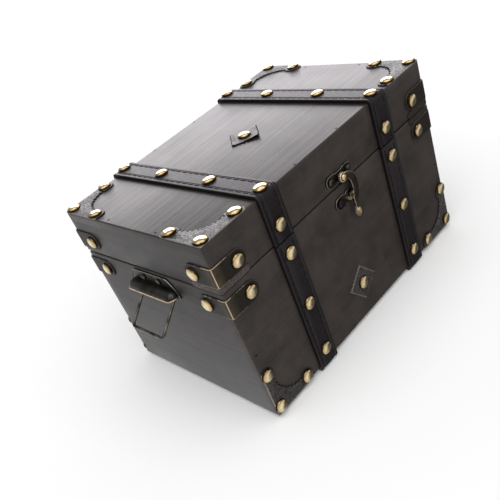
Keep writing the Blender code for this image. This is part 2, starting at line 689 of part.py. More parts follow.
def knuckle(low, high, direction):
    """A knuckle about x with the web that joins it to its leaf, whose outer face is level with the leaf's."""
    web = KNUCKLE_RADIUS - HINGE_LEAF_THICKNESS
    reach = KNUCKLE_RADIUS + HINGE_RELIEF + HINGE_LEAF_THICKNESS
    start = math.atan2(math.sqrt(KNUCKLE_RADIUS ** 2 - web ** 2), -web)
    points = [(-web, reach)]
    for step in range(ROUND_SIDES + 1):
        angle = start + (-180 * DEG - start) * step / ROUND_SIDES
        points.append((KNUCKLE_RADIUS * math.cos(angle), KNUCKLE_RADIUS * math.sin(angle)))
    points.append((-KNUCKLE_RADIUS, reach))
    mesh = sheet([(y, direction * z) for y, z in points], high - low)
    upright = Matrix.Rotation(90 * DEG, 4, "Z") @ Matrix.Rotation(90 * DEG, 4, "X")
    return mesh, Matrix.Translation((low, 0, 0)) @ upright


def hinge_leaf(knuckles, direction):
    """A leaf about the hinge's axis, flat against the back face, with its knuckles and its screw heads."""
    relief = KNUCKLE_RADIUS + HINGE_RELIEF
    half = HINGE_WIDTH / 2
    outline = rounded([(-half, direction * relief, 0), (half, direction * relief, 0),
                       (half, direction * HINGE_LEAF_HEIGHT, HINGE_CORNER_ROUND),
                       (-half, direction * HINGE_LEAF_HEIGHT, HINGE_CORNER_ROUND)])
    leaf = sheet(outline, HINGE_LEAF_THICKNESS)
    front = HINGE_LEAF_THICKNESS - KNUCKLE_RADIUS
    leaf.transform(Matrix.Translation((0, front, 0)) @ Matrix.Rotation(90 * DEG, 4, "X"))
    additions = [knuckle(low, high, direction) for low, high in knuckles]
    button = turned([*round_head(SCREW_HEAD_RADIUS, HINGE_SCREW_HEIGHT), (SCREW_HEAD_RADIUS, -FIT_GAP),
                     (0, -FIT_GAP)], SMALL_SIDES)
    for across in (-HINGE_SCREW_ACROSS, HINGE_SCREW_ACROSS):
        spot = (across, front, direction * HINGE_SCREW_UP)
        additions.append((button, Matrix.Translation(spot) @ Matrix.Rotation(-90 * DEG, 4, "X")))
    lie = Matrix.Rotation(90 * DEG, 4, "Y")
    bore = [(rod(HINGE_PIN_RADIUS + HINGE_PIN_PLAY, -half - OVERRUN, half + OVERRUN), lie)]
    return leaf, additions, bore


def make_hinges():
    """Two butt hinges on the back, each of two leaves and a pin; the lid's leaf has the middle knuckle."""
    half = HINGE_WIDTH / 2
    third = HINGE_WIDTH / 6
    split = FIT_GAP / 2
    lower = [(-half, -third - split), (third + split, half)]
    upper = [(-third + split, third - split)]
    for side, sign in SIDES:
        place = Matrix.Translation((sign * HINGE_ACROSS, HINGE_AXIS.y, HINGE_AXIS.z))
        for name, knuckles, direction, carrier in (("hinge_body_leaf_", lower, -1, None),
                                                   ("hinge_lid_leaf_", upper, 1, Chest.lid)):
            leaf, additions, bore = hinge_leaf(knuckles, direction)
            item = add_piece(name + side, leaf, BRONZE, place, carrier)
            change(item, "UNION", additions)
            change(item, "DIFFERENCE", bore)
        lie = place @ Matrix.Rotation(90 * DEG, 4, "Y")
        add_piece("hinge_pin_" + side, rod(HINGE_PIN_RADIUS, -half, half), BRONZE, lie)


def lobed_plate(reach, lobe, waist):
    """A sheet plate with a round lobe at each end and a narrower waist."""
    neck = reach - 2 * lobe
    middle = neck * WAIST_SHARE
    neck_bend, waist_bend = lobe * NECK_BEND_SHARE, lobe * WAIST_BEND_SHARE
    lower = [(-reach, -lobe, lobe), (-neck, -lobe, neck_bend), (-middle, -waist, waist_bend),
             (middle, -waist, waist_bend), (neck, -lobe, neck_bend), (reach, -lobe, lobe)]
    upper = [(across, -up, bend) for across, up, bend in reversed(lower)]
    return sheet(rounded(lower + upper), SHEET_THICKNESS)


def hook_arm():
    """The arm's outline: points at half its width on both sides of a smooth line through its stations."""
    stations = [Vector((across, -down, half)) * HOOK_REACH for across, down, half in HOOK_ARM_SHARES]
    line = []
    for index in range(len(stations) - 1):
        before = stations[max(index - 1, 0)]
        start, end = stations[index], stations[index + 1]
        after = stations[min(index + 2, len(stations) - 1)]
        for step in range(HOOK_STEPS):
            share = step / HOOK_STEPS
            line.append(((2 * start) + (end - before) * share
                         + (2 * before - 5 * start + 4 * end - after) * share ** 2
                         + (3 * start - before - 3 * end + after) * share ** 3) / 2)
    line.append(stations[-1])
    left, right = [], []
    for index, point in enumerate(line):
        along = line[min(index + 1, len(line) - 1)] - line[max(index - 1, 0)]
        aside = Vector((-along.y, along.x)).normalized() * point.z
        left.append(point.xy + aside)
        right.append(point.xy - aside)
    return sheet(left + right[::-1], HOOK_THICKNESS)


def make_latch():
    """A plate with a riveted swing hook on the lid, and a keeper plate with a post on the body."""
    lid_up = SEAM_HIGH + LATCH_PLATE_UP
    place = on_face("front", LATCH_ACROSS, lid_up, FIT_GAP)
    plate = add_piece("latch_plate", lobed_plate(LATCH_PLATE_REACH, LATCH_PLATE_LOBE, LATCH_PLATE_WAIST), BRONZE,
                      place, Chest.lid)
    lid_screws = latch_screw_places(lid_up, LATCH_PLATE_REACH, LATCH_PLATE_LOBE)
    holes = [screw_hole(spot) for spot in lid_screws]
    holes.append((rod(RIVET_RADIUS + FIT_GAP, -OVERRUN, OVERRUN), rivet_place()))
    change(plate, "DIFFERENCE", [(mesh, place.inverted() @ spot) for mesh, spot in holes])

    place = on_face("front", LATCH_ACROSS, POST_UP, FIT_GAP)
    keeper = add_piece("latch_keeper", lobed_plate(KEEPER_REACH, KEEPER_LOBE, KEEPER_WAIST), BRONZE, place)
    post_top = HOOK_OUT + HOOK_THICKNESS
    post = turned([(0, post_top), (POST_RADIUS - POST_EDGE, post_top), (POST_RADIUS, post_top - POST_EDGE),
                   (POST_RADIUS, SHEET_THICKNESS / 2), (0, SHEET_THICKNESS / 2)], ROUND_SIDES)
    change(keeper, "UNION", [(post, Matrix.Translation((POST_ACROSS, 0, 0)))])
    keeper_screws = latch_screw_places(POST_UP, KEEPER_REACH, KEEPER_LOBE)
    change(keeper, "DIFFERENCE", [(mesh, place.inverted() @ spot)
                                  for mesh, spot in [screw_hole(spot) for spot in keeper_screws]])

    place = on_face("front", LATCH_ACROSS, PIVOT_UP, HOOK_OUT)
    hook = add_piece("latch_hook", hook_arm(), BRONZE, place, Chest.lid)
    tail_across, tail_down, tail_half = HOOK_ARM_SHARES[-1]
    ball = turned([(HOOK_BALL_RADIUS * math.sin(angle * DEG), HOOK_BALL_RADIUS * math.cos(angle * DEG))
                   for angle in (0, 30, 60, 90, 120, 150, 180)], ROUND_SIDES)
    ball_place = Matrix.Translation((tail_across * HOOK_REACH, -tail_down * HOOK_REACH, HOOK_THICKNESS / 2))
    flatten = Matrix.Scale(HOOK_BALL_HALF_THICKNESS / HOOK_BALL_RADIUS, 4, (0, 0, 1))
    change(hook, "UNION", [(rod(HOOK_BOSS_RADIUS, 0, HOOK_THICKNESS), Matrix.Identity(4)),
                           (ball, ball_place @ flatten)])
    notch = Matrix.Rotation(HOOK_SWUNG_OFF, 4, "Z") @ Matrix.Translation((POST_ACROSS, POST_UP - PIVOT_UP, 0))
    change(hook, "DIFFERENCE", [(rod(RIVET_RADIUS + RIVET_PLAY, -OVERRUN, HOOK_THICKNESS + OVERRUN), Matrix.Identity(4)),
                                (rod(POST_RADIUS + FIT_GAP, -OVERRUN, HOOK_THICKNESS + OVERRUN), notch)])

    seat = HOOK_STANDOFF + HOOK_THICKNESS + FIT_GAP
    shoulder = HOOK_STANDOFF - FIT_GAP
    rivet = turned([*round_head(RIVET_HEAD_RADIUS, RIVET_HEAD_HEIGHT, seat), (RIVET_RADIUS, seat),
                    (RIVET_RADIUS, shoulder), (RIVET_SHOULDER_RADIUS, shoulder), (RIVET_SHOULDER_RADIUS, FIT_GAP),
                    (RIVET_RADIUS, FIT_GAP), (RIVET_RADIUS, -WALL + RIVET_COVER), (0, -WALL + RIVET_COVER)],
                   ROUND_SIDES)
    add_piece("latch_rivet", rivet, BRONZE, rivet_place(), Chest.lid)
    for side, spot, turn in zip(("left", "right"), lid_screws, (35 * DEG, -20 * DEG)):
        add_screw("latch_plate_screw_" + side, spot, turn, Chest.lid)
    for side, spot, turn in zip(("left", "right"), keeper_screws, (-50 * DEG, 15 * DEG)):
        add_screw("latch_keeper_screw_" + side, spot, turn)


def handle_plate_outline():
    """The plate's outline: a low arch, widest where its hood ends."""
    height = HANDLE_PLATE_ABOVE + HANDLE_PLATE_BELOW
    reach = HOOD_HALF_LENGTH + HANDLE_PLATE_MARGIN
    half = [(across * reach, up * height - HANDLE_PLATE_BELOW, bend * height)
            for across, up, bend in HANDLE_PLATE_SHARES]
    return rounded(half + [(-across, up, bend) for across, up, bend in reversed(half)])


def domed_bar(radius, end):
    """A round bar about x, as long as the hood's straight part, with a dome on each end."""
    dome = [(radius * math.sin(90 * DEG * step / DOME_STEPS),
             HOOD_STRAIGHT + end * math.cos(90 * DEG * step / DOME_STEPS)) for step in range(DOME_STEPS + 1)]
    dome[0] = (0, HOOD_STRAIGHT + end)
    dome[-1] = (radius, HOOD_STRAIGHT)
    mesh = turned(dome + [(across, -along) for across, along in reversed(dome)], HOOD_SIDES)
    mesh.transform(Matrix.Rotation(90 * DEG, 4, "Y"))
    return mesh


def make_hood(plate):
    """Raise the plate's cupped hood over the bail's axis, open below, with a tongue rolled round the bail in it."""
    out = BAIL_OUT - FIT_GAP
    lie = Matrix.Translation((0, 0, out))
    outer = trimmed(domed_bar(HOOD_RADIUS, HOOD_END), (0, 0, SHEET_THICKNESS / 2 - out), (0, 0, 1))
    outer = trimmed(outer, (0, 0, 0), (0, 1, 0))
    change(plate, "UNION", [(outer, lie)])
    inner = domed_bar(HOOD_RADIUS - SHEET_THICKNESS, HOOD_END - SHEET_THICKNESS)
    inner = trimmed(inner, (0, 0, SHEET_THICKNESS - out), (0, 0, 1))
    change(plate, "DIFFERENCE", [(inner, lie)])
    lie = lie @ Matrix.Rotation(90 * DEG, 4, "Y")
    change(plate, "UNION", [(rod(TONGUE_RADIUS, -TONGUE_HALF_LENGTH, TONGUE_HALF_LENGTH), lie)])
    bore = TONGUE_HALF_LENGTH + OVERRUN
    return rod(BAIL_WIRE_RADIUS + BAIL_PLAY, -bore, bore), lie


def bail_wire(slid):
    """The bail about its axis, a closed loop that hangs down from it, slid along it."""
    corners = [(-BAIL_HALF_WIDTH, 0, BAIL_CORNER_ROUND), (BAIL_HALF_WIDTH, 0, BAIL_CORNER_ROUND),
               (BAIL_HALF_WIDTH, -BAIL_DROP, BAIL_CORNER_ROUND), (-BAIL_HALF_WIDTH, -BAIL_DROP, BAIL_CORNER_ROUND)]
    return wire_loop([(point.x + slid, point.y, 0) for point in rounded(corners)], BAIL_WIRE_RADIUS)


def make_handles():
    """On each side a plate with a cupped hood, and a wire bail that turns in it, slid towards the front."""
    for side, sign in SIDES:
        place = on_handle(side, 0, 0, FIT_GAP)
        plate = add_piece("handle_plate_" + side, sheet(handle_plate_outline(), SHEET_THICKNESS), BRONZE, place)
        cuts = [make_hood(plate)]
        screws = handle_screw_places(side)
        cuts += [(mesh, place.inverted() @ spot) for mesh, spot in [screw_hole(spot) for spot in screws]]
        change(plate, "DIFFERENCE", cuts)
        for end, spot, turn in zip(("a", "b"), screws, (25 * DEG, -40 * DEG)):
            add_screw("handle_screw_" + side + "_" + end, spot, turn)
        axis = on_handle(side, 0, 0, BAIL_OUT)
        raised = axis @ Matrix.Rotation(-BAIL_RAISED, 4, "X")
        add_piece("bail_" + side, bail_wire(-sign * BAIL_SLID), BRONZE, raised)


def make_chest():
    """Build the whole chest."""
    clear_scene()
    Chest.parts = new_collection("Keepsake chest")
    Chest.cutters = new_collection("Cutters")
    Chest.lid = bpy.data.objects.new("lid_axis", None)
    Chest.lid.location = HINGE_AXIS
    Chest.parts.objects.link(Chest.lid)
    make_body_boards()
    make_lid_boards()
    make_straps()
    make_patches()
    make_diamonds()
    make_tabs()
    make_hinges()
    make_latch()
    make_handles()


make_chest()
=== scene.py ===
# %% [markdown]
# # Dressing a strapped keepsake chest
# The chest is a small hinged wooden box. Leather straps run round it, leather corners and folded tabs are
# nailed to it with domed brass nails, a swing hook closes it and a wire bail hangs on each side.
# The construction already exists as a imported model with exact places, so this lesson only makes the looks:
# every piece is modelled again, finely, where its plain solid stands, and rides on the same moving body.

import math
import random

import bmesh
import bpy
from mathutils import Matrix, Vector


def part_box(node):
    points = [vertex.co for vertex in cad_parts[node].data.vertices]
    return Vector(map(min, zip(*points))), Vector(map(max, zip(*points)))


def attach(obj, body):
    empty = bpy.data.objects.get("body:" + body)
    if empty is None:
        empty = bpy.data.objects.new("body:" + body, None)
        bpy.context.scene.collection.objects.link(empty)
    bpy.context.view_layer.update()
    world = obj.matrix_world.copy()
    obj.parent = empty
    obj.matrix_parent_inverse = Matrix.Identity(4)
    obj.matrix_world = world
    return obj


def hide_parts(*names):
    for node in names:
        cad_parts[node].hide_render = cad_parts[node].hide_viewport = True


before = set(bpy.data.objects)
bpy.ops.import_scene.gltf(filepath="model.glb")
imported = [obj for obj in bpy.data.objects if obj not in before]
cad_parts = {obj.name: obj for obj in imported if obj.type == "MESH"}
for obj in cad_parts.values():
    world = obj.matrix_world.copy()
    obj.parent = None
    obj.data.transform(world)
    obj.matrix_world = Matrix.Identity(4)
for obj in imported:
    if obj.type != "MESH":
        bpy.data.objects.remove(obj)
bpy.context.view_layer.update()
MM = 0.001
DEG = math.pi / 180
SIDES = (("left", -1), ("right", 1))


# %% [markdown]
# The camera comes first, because it decides which details matter. Its place was solved from the chest's
# corners: it looks down over the front left corner. The lens is shifted a little, as a cropped picture is.

# %% The camera
CAMERA_PLACE = Vector((-254.85, -319.80, 299.93)) * MM
CAMERA_LOOKS = Vector((0.46264, 0.70253, -0.54076))
CAMERA_UP = Vector((0.60510, 0.19556, 0.77176))
SENSOR = 36.0
FOCAL_PIXELS = 626.29
PHOTO_SIDE = 500
PHOTO_CENTRE = (241.71, 270.39)
NEAREST_SEEN = 10 * MM

camera_data = bpy.data.cameras.new("camera")
camera_data.sensor_width = SENSOR
camera_data.lens = FOCAL_PIXELS * SENSOR / PHOTO_SIDE
camera_data.shift_x = (PHOTO_SIDE / 2 - PHOTO_CENTRE[0]) / PHOTO_SIDE
camera_data.shift_y = (PHOTO_CENTRE[1] - PHOTO_SIDE / 2) / PHOTO_SIDE
camera_data.clip_start = NEAREST_SEEN
camera = bpy.data.objects.new("camera", camera_data)
bpy.context.scene.collection.objects.link(camera)
right = CAMERA_LOOKS.cross(CAMERA_UP).normalized()
up = right.cross(CAMERA_LOOKS).normalized()
turn = Matrix((right, up, -CAMERA_LOOKS.normalized())).transposed()
camera.matrix_world = Matrix.Translation(CAMERA_PLACE) @ turn.to_4x4()
bpy.context.scene.camera = camera
print("lens %.2f mm, shift %.4f %.4f" % (camera_data.lens, camera_data.shift_x, camera_data.shift_y))

# %% [markdown]
# All sizes are read from the frame, so a board or a strap is never measured twice. The chest's own planes
# are the ones that the boards' outer faces lie in.

# %% The chest's planes
front_low, front_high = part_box("body_front_panel")
HALF_WIDTH = front_high.x
HALF_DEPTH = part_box("body_back_panel")[1].y
WOOD_BOTTOM = front_low.z
RIM = front_high.z
LID_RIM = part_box("lid_front_rail")[0].z
LID_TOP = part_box("lid_top_board")[1].z
SEAM = (RIM + LID_RIM) / 2
strap_low, strap_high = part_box("lid_strap_left")
STRAP_WIDTH = strap_high.x - strap_low.x
strap_low, strap_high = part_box("lid_strap_right")
STRAP_ACROSS = (strap_low.x + strap_high.x) / 2
print("half width %.1f, half depth %.1f, seam %.1f mm" % (HALF_WIDTH / MM, HALF_DEPTH / MM, SEAM / MM))

# %% [markdown]
# Modelling with operators works on what is selected, as it does by hand, so everything is deselected before
# each new primitive. The first helpers select faces or edges by a test of their place. The others wrap the
# few operators that shape most pieces: extrude, bevel, bisect, and Solidify for a sheet's thickness.

# %% Helpers for selecting and shaping
TOLERANCE = 0.01 * MM
MERGE_WITHIN = 0.002 * MM


def clear_selection():
    """Leave edit mode and deselect everything."""
    if bpy.context.object and bpy.context.object.mode != "OBJECT":
        bpy.ops.object.mode_set(mode="OBJECT")
    bpy.ops.object.select_all(action="DESELECT")


def take(piece):
    """Make one object the selected and active one."""
    clear_selection()
    piece.select_set(True)
    bpy.context.view_layer.objects.active = piece


def middle(item):
    """The middle of an edge or face."""
    if isinstance(item, bmesh.types.BMEdge):
        return (item.verts[0].co + item.verts[1].co) / 2
    return item.calc_center_median()


def pick(piece, kind, test):
    """Enter edit mode and select the edges or faces that pass a test."""
    take(piece)
    bpy.ops.object.mode_set(mode="EDIT")
    bpy.ops.mesh.select_mode(type=kind)
    bpy.ops.mesh.select_all(action="DESELECT")
    shape = bmesh.from_edit_mesh(piece.data)
    for item in {"EDGE": shape.edges, "FACE": shape.faces}[kind]:
        if test(item):
            item.select_set(True)
    bmesh.update_edit_mesh(piece.data)


def pick_all(piece):
    """Enter edit mode with every face selected."""
    pick(piece, "FACE", lambda face: True)


def face_outwards(piece):
    """Merge doubles and turn all faces outwards."""
    pick_all(piece)
    bpy.ops.mesh.remove_doubles(threshold=MERGE_WITHIN)
    bpy.ops.mesh.normals_make_consistent(inside=False)
    bpy.ops.object.mode_set(mode="OBJECT")


def extrude(x, y, z):
    """Pull what is selected out by a move."""
    bpy.ops.mesh.extrude_region_move(TRANSFORM_OT_translate={"value": (x, y, z)})


def slice_across(piece, place, normal, cut_off=False):
    """Cut all faces along a plane, and perhaps remove what lies behind it."""
    pick_all(piece)
    bpy.ops.mesh.bisect(plane_co=place, plane_no=normal, clear_inner=cut_off)


def round_edges(piece, test, radius, steps=2, slot=-1, clamp=False):
    """Round the edges that pass a test; the new faces can take another slot's finish."""
    pick(piece, "EDGE", test)
    bpy.ops.mesh.bevel(offset=radius, segments=steps, affect="EDGES", clamp_overlap=clamp, material=slot)
    bpy.ops.object.mode_set(mode="OBJECT")


def thicken(piece, thickness, offset):
    """Give a sheet its thickness, outwards with an offset of 1 and inwards with -1."""
    take(piece)
    wall = piece.modifiers.new("wall", "SOLIDIFY")
    wall.thickness = thickness
    wall.offset = offset
    bpy.ops.object.modifier_apply(modifier=wall.name)


def mark_faces(piece, slot, test):
    """Give the faces that pass a test a slot's finish."""
    for face in piece.data.polygons:
        if test(face):
            face.material_index = slot


print("shaping helpers ready, tolerance %.2f mm" % (TOLERANCE / MM))

# %% [markdown]
# A finished piece has its modifiers applied and its place in its mesh, and it gets its materials and its
# body, while the plain solid that it stands for is hidden. What repeats is modelled once and copied, and each
# copy has a mesh of its own. A primitive is only ever the start of a piece.

# %% Helpers for starting, finishing and copying
def freeze(piece):
    """Apply the piece's modifiers and put its place into its mesh."""
    take(piece)
    for modifier in list(piece.modifiers):
        bpy.ops.object.modifier_apply(modifier=modifier.name)
    bpy.ops.object.transform_apply(location=True, rotation=True, scale=True)
    return piece


def new_cube(centre, size):
    """A cube stretched to a size."""
    clear_selection()
    bpy.ops.mesh.primitive_cube_add(size=1, location=centre, scale=size)
    return freeze(bpy.context.object)


def new_sphere(segments, rings, radius=1.0, turn=(0, 0, 0)):
    """A sphere about the origin, its poles laid along another axis by a turn."""
    clear_selection()
    bpy.ops.mesh.primitive_uv_sphere_add(segments=segments, ring_count=rings, radius=radius, rotation=turn)
    return freeze(bpy.context.object)


def finish_piece(piece, name, body, materials, nodes=(), smooth=35):
    """Freeze a piece, name and dress it, tie it to its body, and hide the plain solids it stands for."""
    freeze(piece)
    piece.name = name
    piece.data.name = name
    marks = [face.material_index for face in piece.data.polygons]
    piece.data.materials.clear()
    for material in materials:
        piece.data.materials.append(material)
    for face, mark in zip(piece.data.polygons, marks):
        face.material_index = min(mark, len(materials) - 1)
    bpy.ops.object.shade_smooth_by_angle(angle=smooth * DEG)
    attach(piece, body)
    if nodes:
        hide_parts(*nodes)
    bpy.ops.object.select_all(action="DESELECT")
    return piece


def join_pieces(pieces):
    """Join copies into the first of them."""
    take(pieces[0])
    for piece in pieces:
        piece.select_set(True)
    bpy.ops.object.join()
    return pieces[0]


def discard(piece):
    """Remove a pattern or a tool."""
    bpy.data.objects.remove(piece, do_unlink=True)


def combine(piece, tool, operation):
    """Unite a piece with a tool or cut the tool from it, and remove the tool."""
    take(piece)
    boolean = piece.modifiers.new(operation.lower(), "BOOLEAN")
    boolean.operation = operation
    boolean.solver = "EXACT"
    boolean.object = tool
    bpy.ops.object.modifier_apply(modifier=boolean.name)
    discard(tool)
    return piece


def copy_to(pattern, place):
    """A copy of a modelled piece with its own mesh, at a place."""
    copy = bpy.data.objects.new(pattern.name + "_copy", pattern.data.copy())
    bpy.context.scene.collection.objects.link(copy)
    copy.data.transform(place)
    return copy


print("finishing helpers ready, every piece deselected:", not bpy.context.selected_objects)

# %% [markdown]
# Many pieces sit on an upright face of the chest. This frame has its x across the face, its y up and its z
# straight out of the wood, so a nail or a plate can be modelled flat and then stood on any side.

# %% Frames on the chest's faces
FACE_TURNS = {"front": (0, HALF_DEPTH), "right": (90, HALF_WIDTH), "back": (180, HALF_DEPTH),
              "left": (-90, HALF_WIDTH)}


def turned(angle, axis):
    """A turn in degrees about an axis."""
    return Matrix.Rotation(angle * DEG, 4, axis)


def moved(x, y, z):
    """A move along the three axes."""
    return Matrix.Translation((x, y, z))


def on_face(face, across, height, out=0.0):
    """The frame of a spot on an upright face."""
    angle, half = FACE_TURNS[face]
    return turned(angle, "Z") @ moved(across, -half - out, height) @ turned(90, "X")


def on_top(x, y, out=0.0, angle=0.0):
    """The frame of a spot on the lid's top."""
    return moved(x, y, LID_TOP + out) @ turned(angle, "Z")


print("front frame looks to", tuple(round(v, 2) for v in on_face("front", 0, 0).col[2][:3]))

# %% [markdown]
# ## Finishes
# Every finish is procedural and reads Object coordinates, so it runs on across neighbouring boards and needs
# no image.

# %% A small kit for node trees
class Nodes:
    """A node tree and the tools to wire it. A value is a number, a colour or another node's output."""

    def __init__(self, tree):
        self.nodes = tree.nodes
        self.links = tree.links

    def feed(self, socket, value):
        """Link an output to a socket, or set the socket's own number or colour."""
        if isinstance(value, bpy.types.NodeSocket):
            self.links.new(value, socket)
        else:
            socket.default_value = value

    def add(self, kind, output, inputs, **settings):
        """A new node with its settings made and its inputs fed; gives one of its outputs."""
        node = self.nodes.new(kind)
        for name, value in settings.items():
            setattr(node, name, value)
        for name, value in inputs.items():
            self.feed(node.inputs[name], value)
        return node.outputs[output]

    def spread(self, value, low, high, to_low=0.0, to_high=1.0):
        """Stretch a value from one range to another, clamped."""
        limits = {"From Min": low, "From Max": high, "To Min": to_low, "To Max": to_high}
        return self.add("ShaderNodeMapRange", "Result", {"Value": value, **limits})

    def maths(self, operation, first, second):
        """A sum, a product or the like of two values."""
        return self.add("ShaderNodeMath", "Value", {0: first, 1: second}, operation=operation)


class Finish(Nodes):
    """One material: its shader, and patterns on Object coordinates."""

    def __init__(self, name, colour, roughness, metallic=0.0):
        self.material = bpy.data.materials.new(name)
        self.material.use_nodes = True
        self.material.diffuse_color = (*colour, 1)
        super().__init__(self.material.node_tree)
        self.coordinates = self.add("ShaderNodeTexCoord", "Object", {})
        self.shader = self.nodes["Principled BSDF"]
        self.give("Base Color", (*colour, 1)).give("Roughness", roughness).give("Metallic", metallic)

    def give(self, name, value):
        """Give one of the shader's sockets a value."""
        self.feed(self.shader.inputs[name], value)
        return self

    def noise(self, scale, detail, roughness, distortion=0.0, vector=None):
        """A noise pattern."""
        inputs = {"Vector": self.coordinates if vector is None else vector, "Scale": scale, "Detail": detail,
                  "Roughness": roughness, "Distortion": distortion}
        return self.add("ShaderNodeTexNoise", "Fac", inputs)

    def stretched(self, scale, shift):
        """Object coordinates scaled apart along the axes."""
        inputs = {"Vector": self.coordinates, "Scale": scale, "Location": shift}
        return self.add("ShaderNodeMapping", "Vector", inputs)

    def cells(self, size):
        """A cell pattern's distance from the edges of its cells."""
        inputs = {"Vector": self.coordinates, "Scale": 1 / size}
        return self.add("ShaderNodeTexVoronoi", "Distance", inputs, feature="DISTANCE_TO_EDGE")

    def attribute(self, name):
        """The piece's own number at each point."""
        return self.add("ShaderNodeAttribute", "Fac", {}, attribute_name=name)

    def mix(self, factor, first, second):
        """A mix of two colours."""
        inputs = {0: factor}
        for index, colour in ((6, first), (7, second)):
            inputs[index] = (*colour, 1) if isinstance(colour, tuple) else colour
        return self.add("ShaderNodeMix", 2, inputs, data_type="RGBA")

    def bump(self, height, strength, distance, onto=None):
        """A bump from a height, laid over an earlier one."""
        inputs = {"Height": height, "Strength": strength, "Distance": distance}
        if onto is not None:
            inputs["Normal"] = onto
        return self.add("ShaderNodeBump", "Normal", inputs)


print("node kits ready:", Nodes.__name__, Finish.__name__)

# %% [markdown]
# The wood is stained almost black-brown and lacquered satin. On the lid the sky turns it lavender grey, and
# the sheen shows long faint streaks along the grain, so the roughness and the bump carry most of the look.
# Grain is noise stretched many times along one axis: along x on the long boards and along y on the sides.
# A photograph of real wood would show a seam where it repeats, and noise never does.

# %% Stained wood
WOOD_DARK = (0.0085, 0.0070, 0.0062)
WOOD_MID = (0.019, 0.0155, 0.0135)
WOOD_LIGHT = (0.036, 0.030, 0.026)
WOOD_FIBRE_DEPTH = 0.07 * MM
WOOD_GRIT_DEPTH = 0.08 * MM
WOOD_STREAK_DEPTH = 0.32 * MM
STREAK_SHIFT = (0.3, 0.7, 0.1)


def stained_wood(name, along, shine, streaky, lift):
    """Dark satin wood with its grain along x or y, its stain lifted by a share in each colour."""
    dark, mid, light = (tuple(part * share for part, share in zip(stain, lift))
                        for stain in (WOOD_DARK, WOOD_MID, WOOD_LIGHT))
    finish = Finish(name, mid, 0.4).give("Specular IOR Level", shine)

    def grain(length, width, detail, distortion=0.0, shift=(0, 0, 0)):
        """Noise drawn out along the grain."""
        scale = (length, width, width) if along == "x" else (width, length, width)
        return finish.noise(1.0, detail, 0.6, distortion, finish.stretched(scale, shift))

    figure = grain(4, 55, 5, 0.35)
    fibres = grain(18, 900, 3)
    streaks = grain(7, 300, 3, shift=STREAK_SHIFT)
    blotches = finish.noise(22.0, 3, 0.5)
    mottle = finish.noise(75.0, 3, 0.6)
    tone = finish.mix(finish.spread(figure, 0.3, 0.7, 0.15, 0.75), dark, light)
    tone = finish.mix(finish.spread(fibres, 0.35, 0.7, 0.0, 0.55), tone, dark)
    tone = finish.mix(finish.spread(mottle, 0.35, 0.65, 0.0, 0.6), tone, light)
    tone = finish.mix(finish.spread(blotches, 0.35, 0.7, 0.0, 0.5), tone, mid)
    gloss = finish.maths("ADD", finish.spread(blotches, 0.3, 0.7, 0.33, 0.39),
                         finish.spread(streaks, 0.5, 0.8, 0.0, 0.06))
    over = finish.bump(fibres, 0.45, WOOD_FIBRE_DEPTH)
    over = finish.bump(finish.noise(650.0, 3, 0.6), 0.35, WOOD_GRIT_DEPTH, over)
    over = finish.bump(streaks, streaky, WOOD_STREAK_DEPTH, over)
    return finish.give("Base Color", tone).give("Roughness", gloss).give("Normal", over).material


wood_x = stained_wood("stained_wood_long", "x", 0.29, 0.70, (1.0, 1.0, 1.0))
wood_y = stained_wood("stained_wood_side", "y", 0.24, 0.32, (1.0, 1.0, 1.12))
# Painted tone: the front boards take a copy of the wood with a lighter stain and less shine, set to the
# front's brightness under this light.
wood_front_painted_tone = stained_wood("stained_wood_front_painted_tone", "x", 0.21, 0.32, (1.48, 1.44, 1.45))
print("wood:", wood_x.name, wood_y.name, wood_front_painted_tone.name)

# %% [markdown]
# Three leathers are on the chest. The straps are smooth and plum black. The corners and diamonds are a
# browner leather with a coarse pebbled face and wandering creases. The folded tabs are smooth, and they are
# rubbed brown towards the fold. Pebbles are cells of one or two millimetres, and creases are noise folded
# back on itself, which leaves ridges with sharp valleys between them. The valleys between the pebbles and
# along the creases are painted darker, as painted shade.

# %% Leathers
# Each dark colour is the leather's darker tone and also the painted shade in its valleys and creases.
STRAP_DARK_AND_SHADE = (0.006, 0.004, 0.005)
STRAP_LIGHT = (0.012, 0.0085, 0.0105)
CORNER_DARK_AND_SHADE = (0.012, 0.0095, 0.0085)
CORNER_LIGHT = (0.078, 0.065, 0.060)
TAB_DARK_AND_SHADE = (0.010, 0.008, 0.006)
TAB_BROWN = (0.021, 0.016, 0.011)
RUBBED_BROWN = (0.058, 0.043, 0.024)
LEATHER_PORE_DEPTH = 0.05 * MM
CREASE_DEPTH = 0.40 * MM
CREASE_TURNS = 4.5


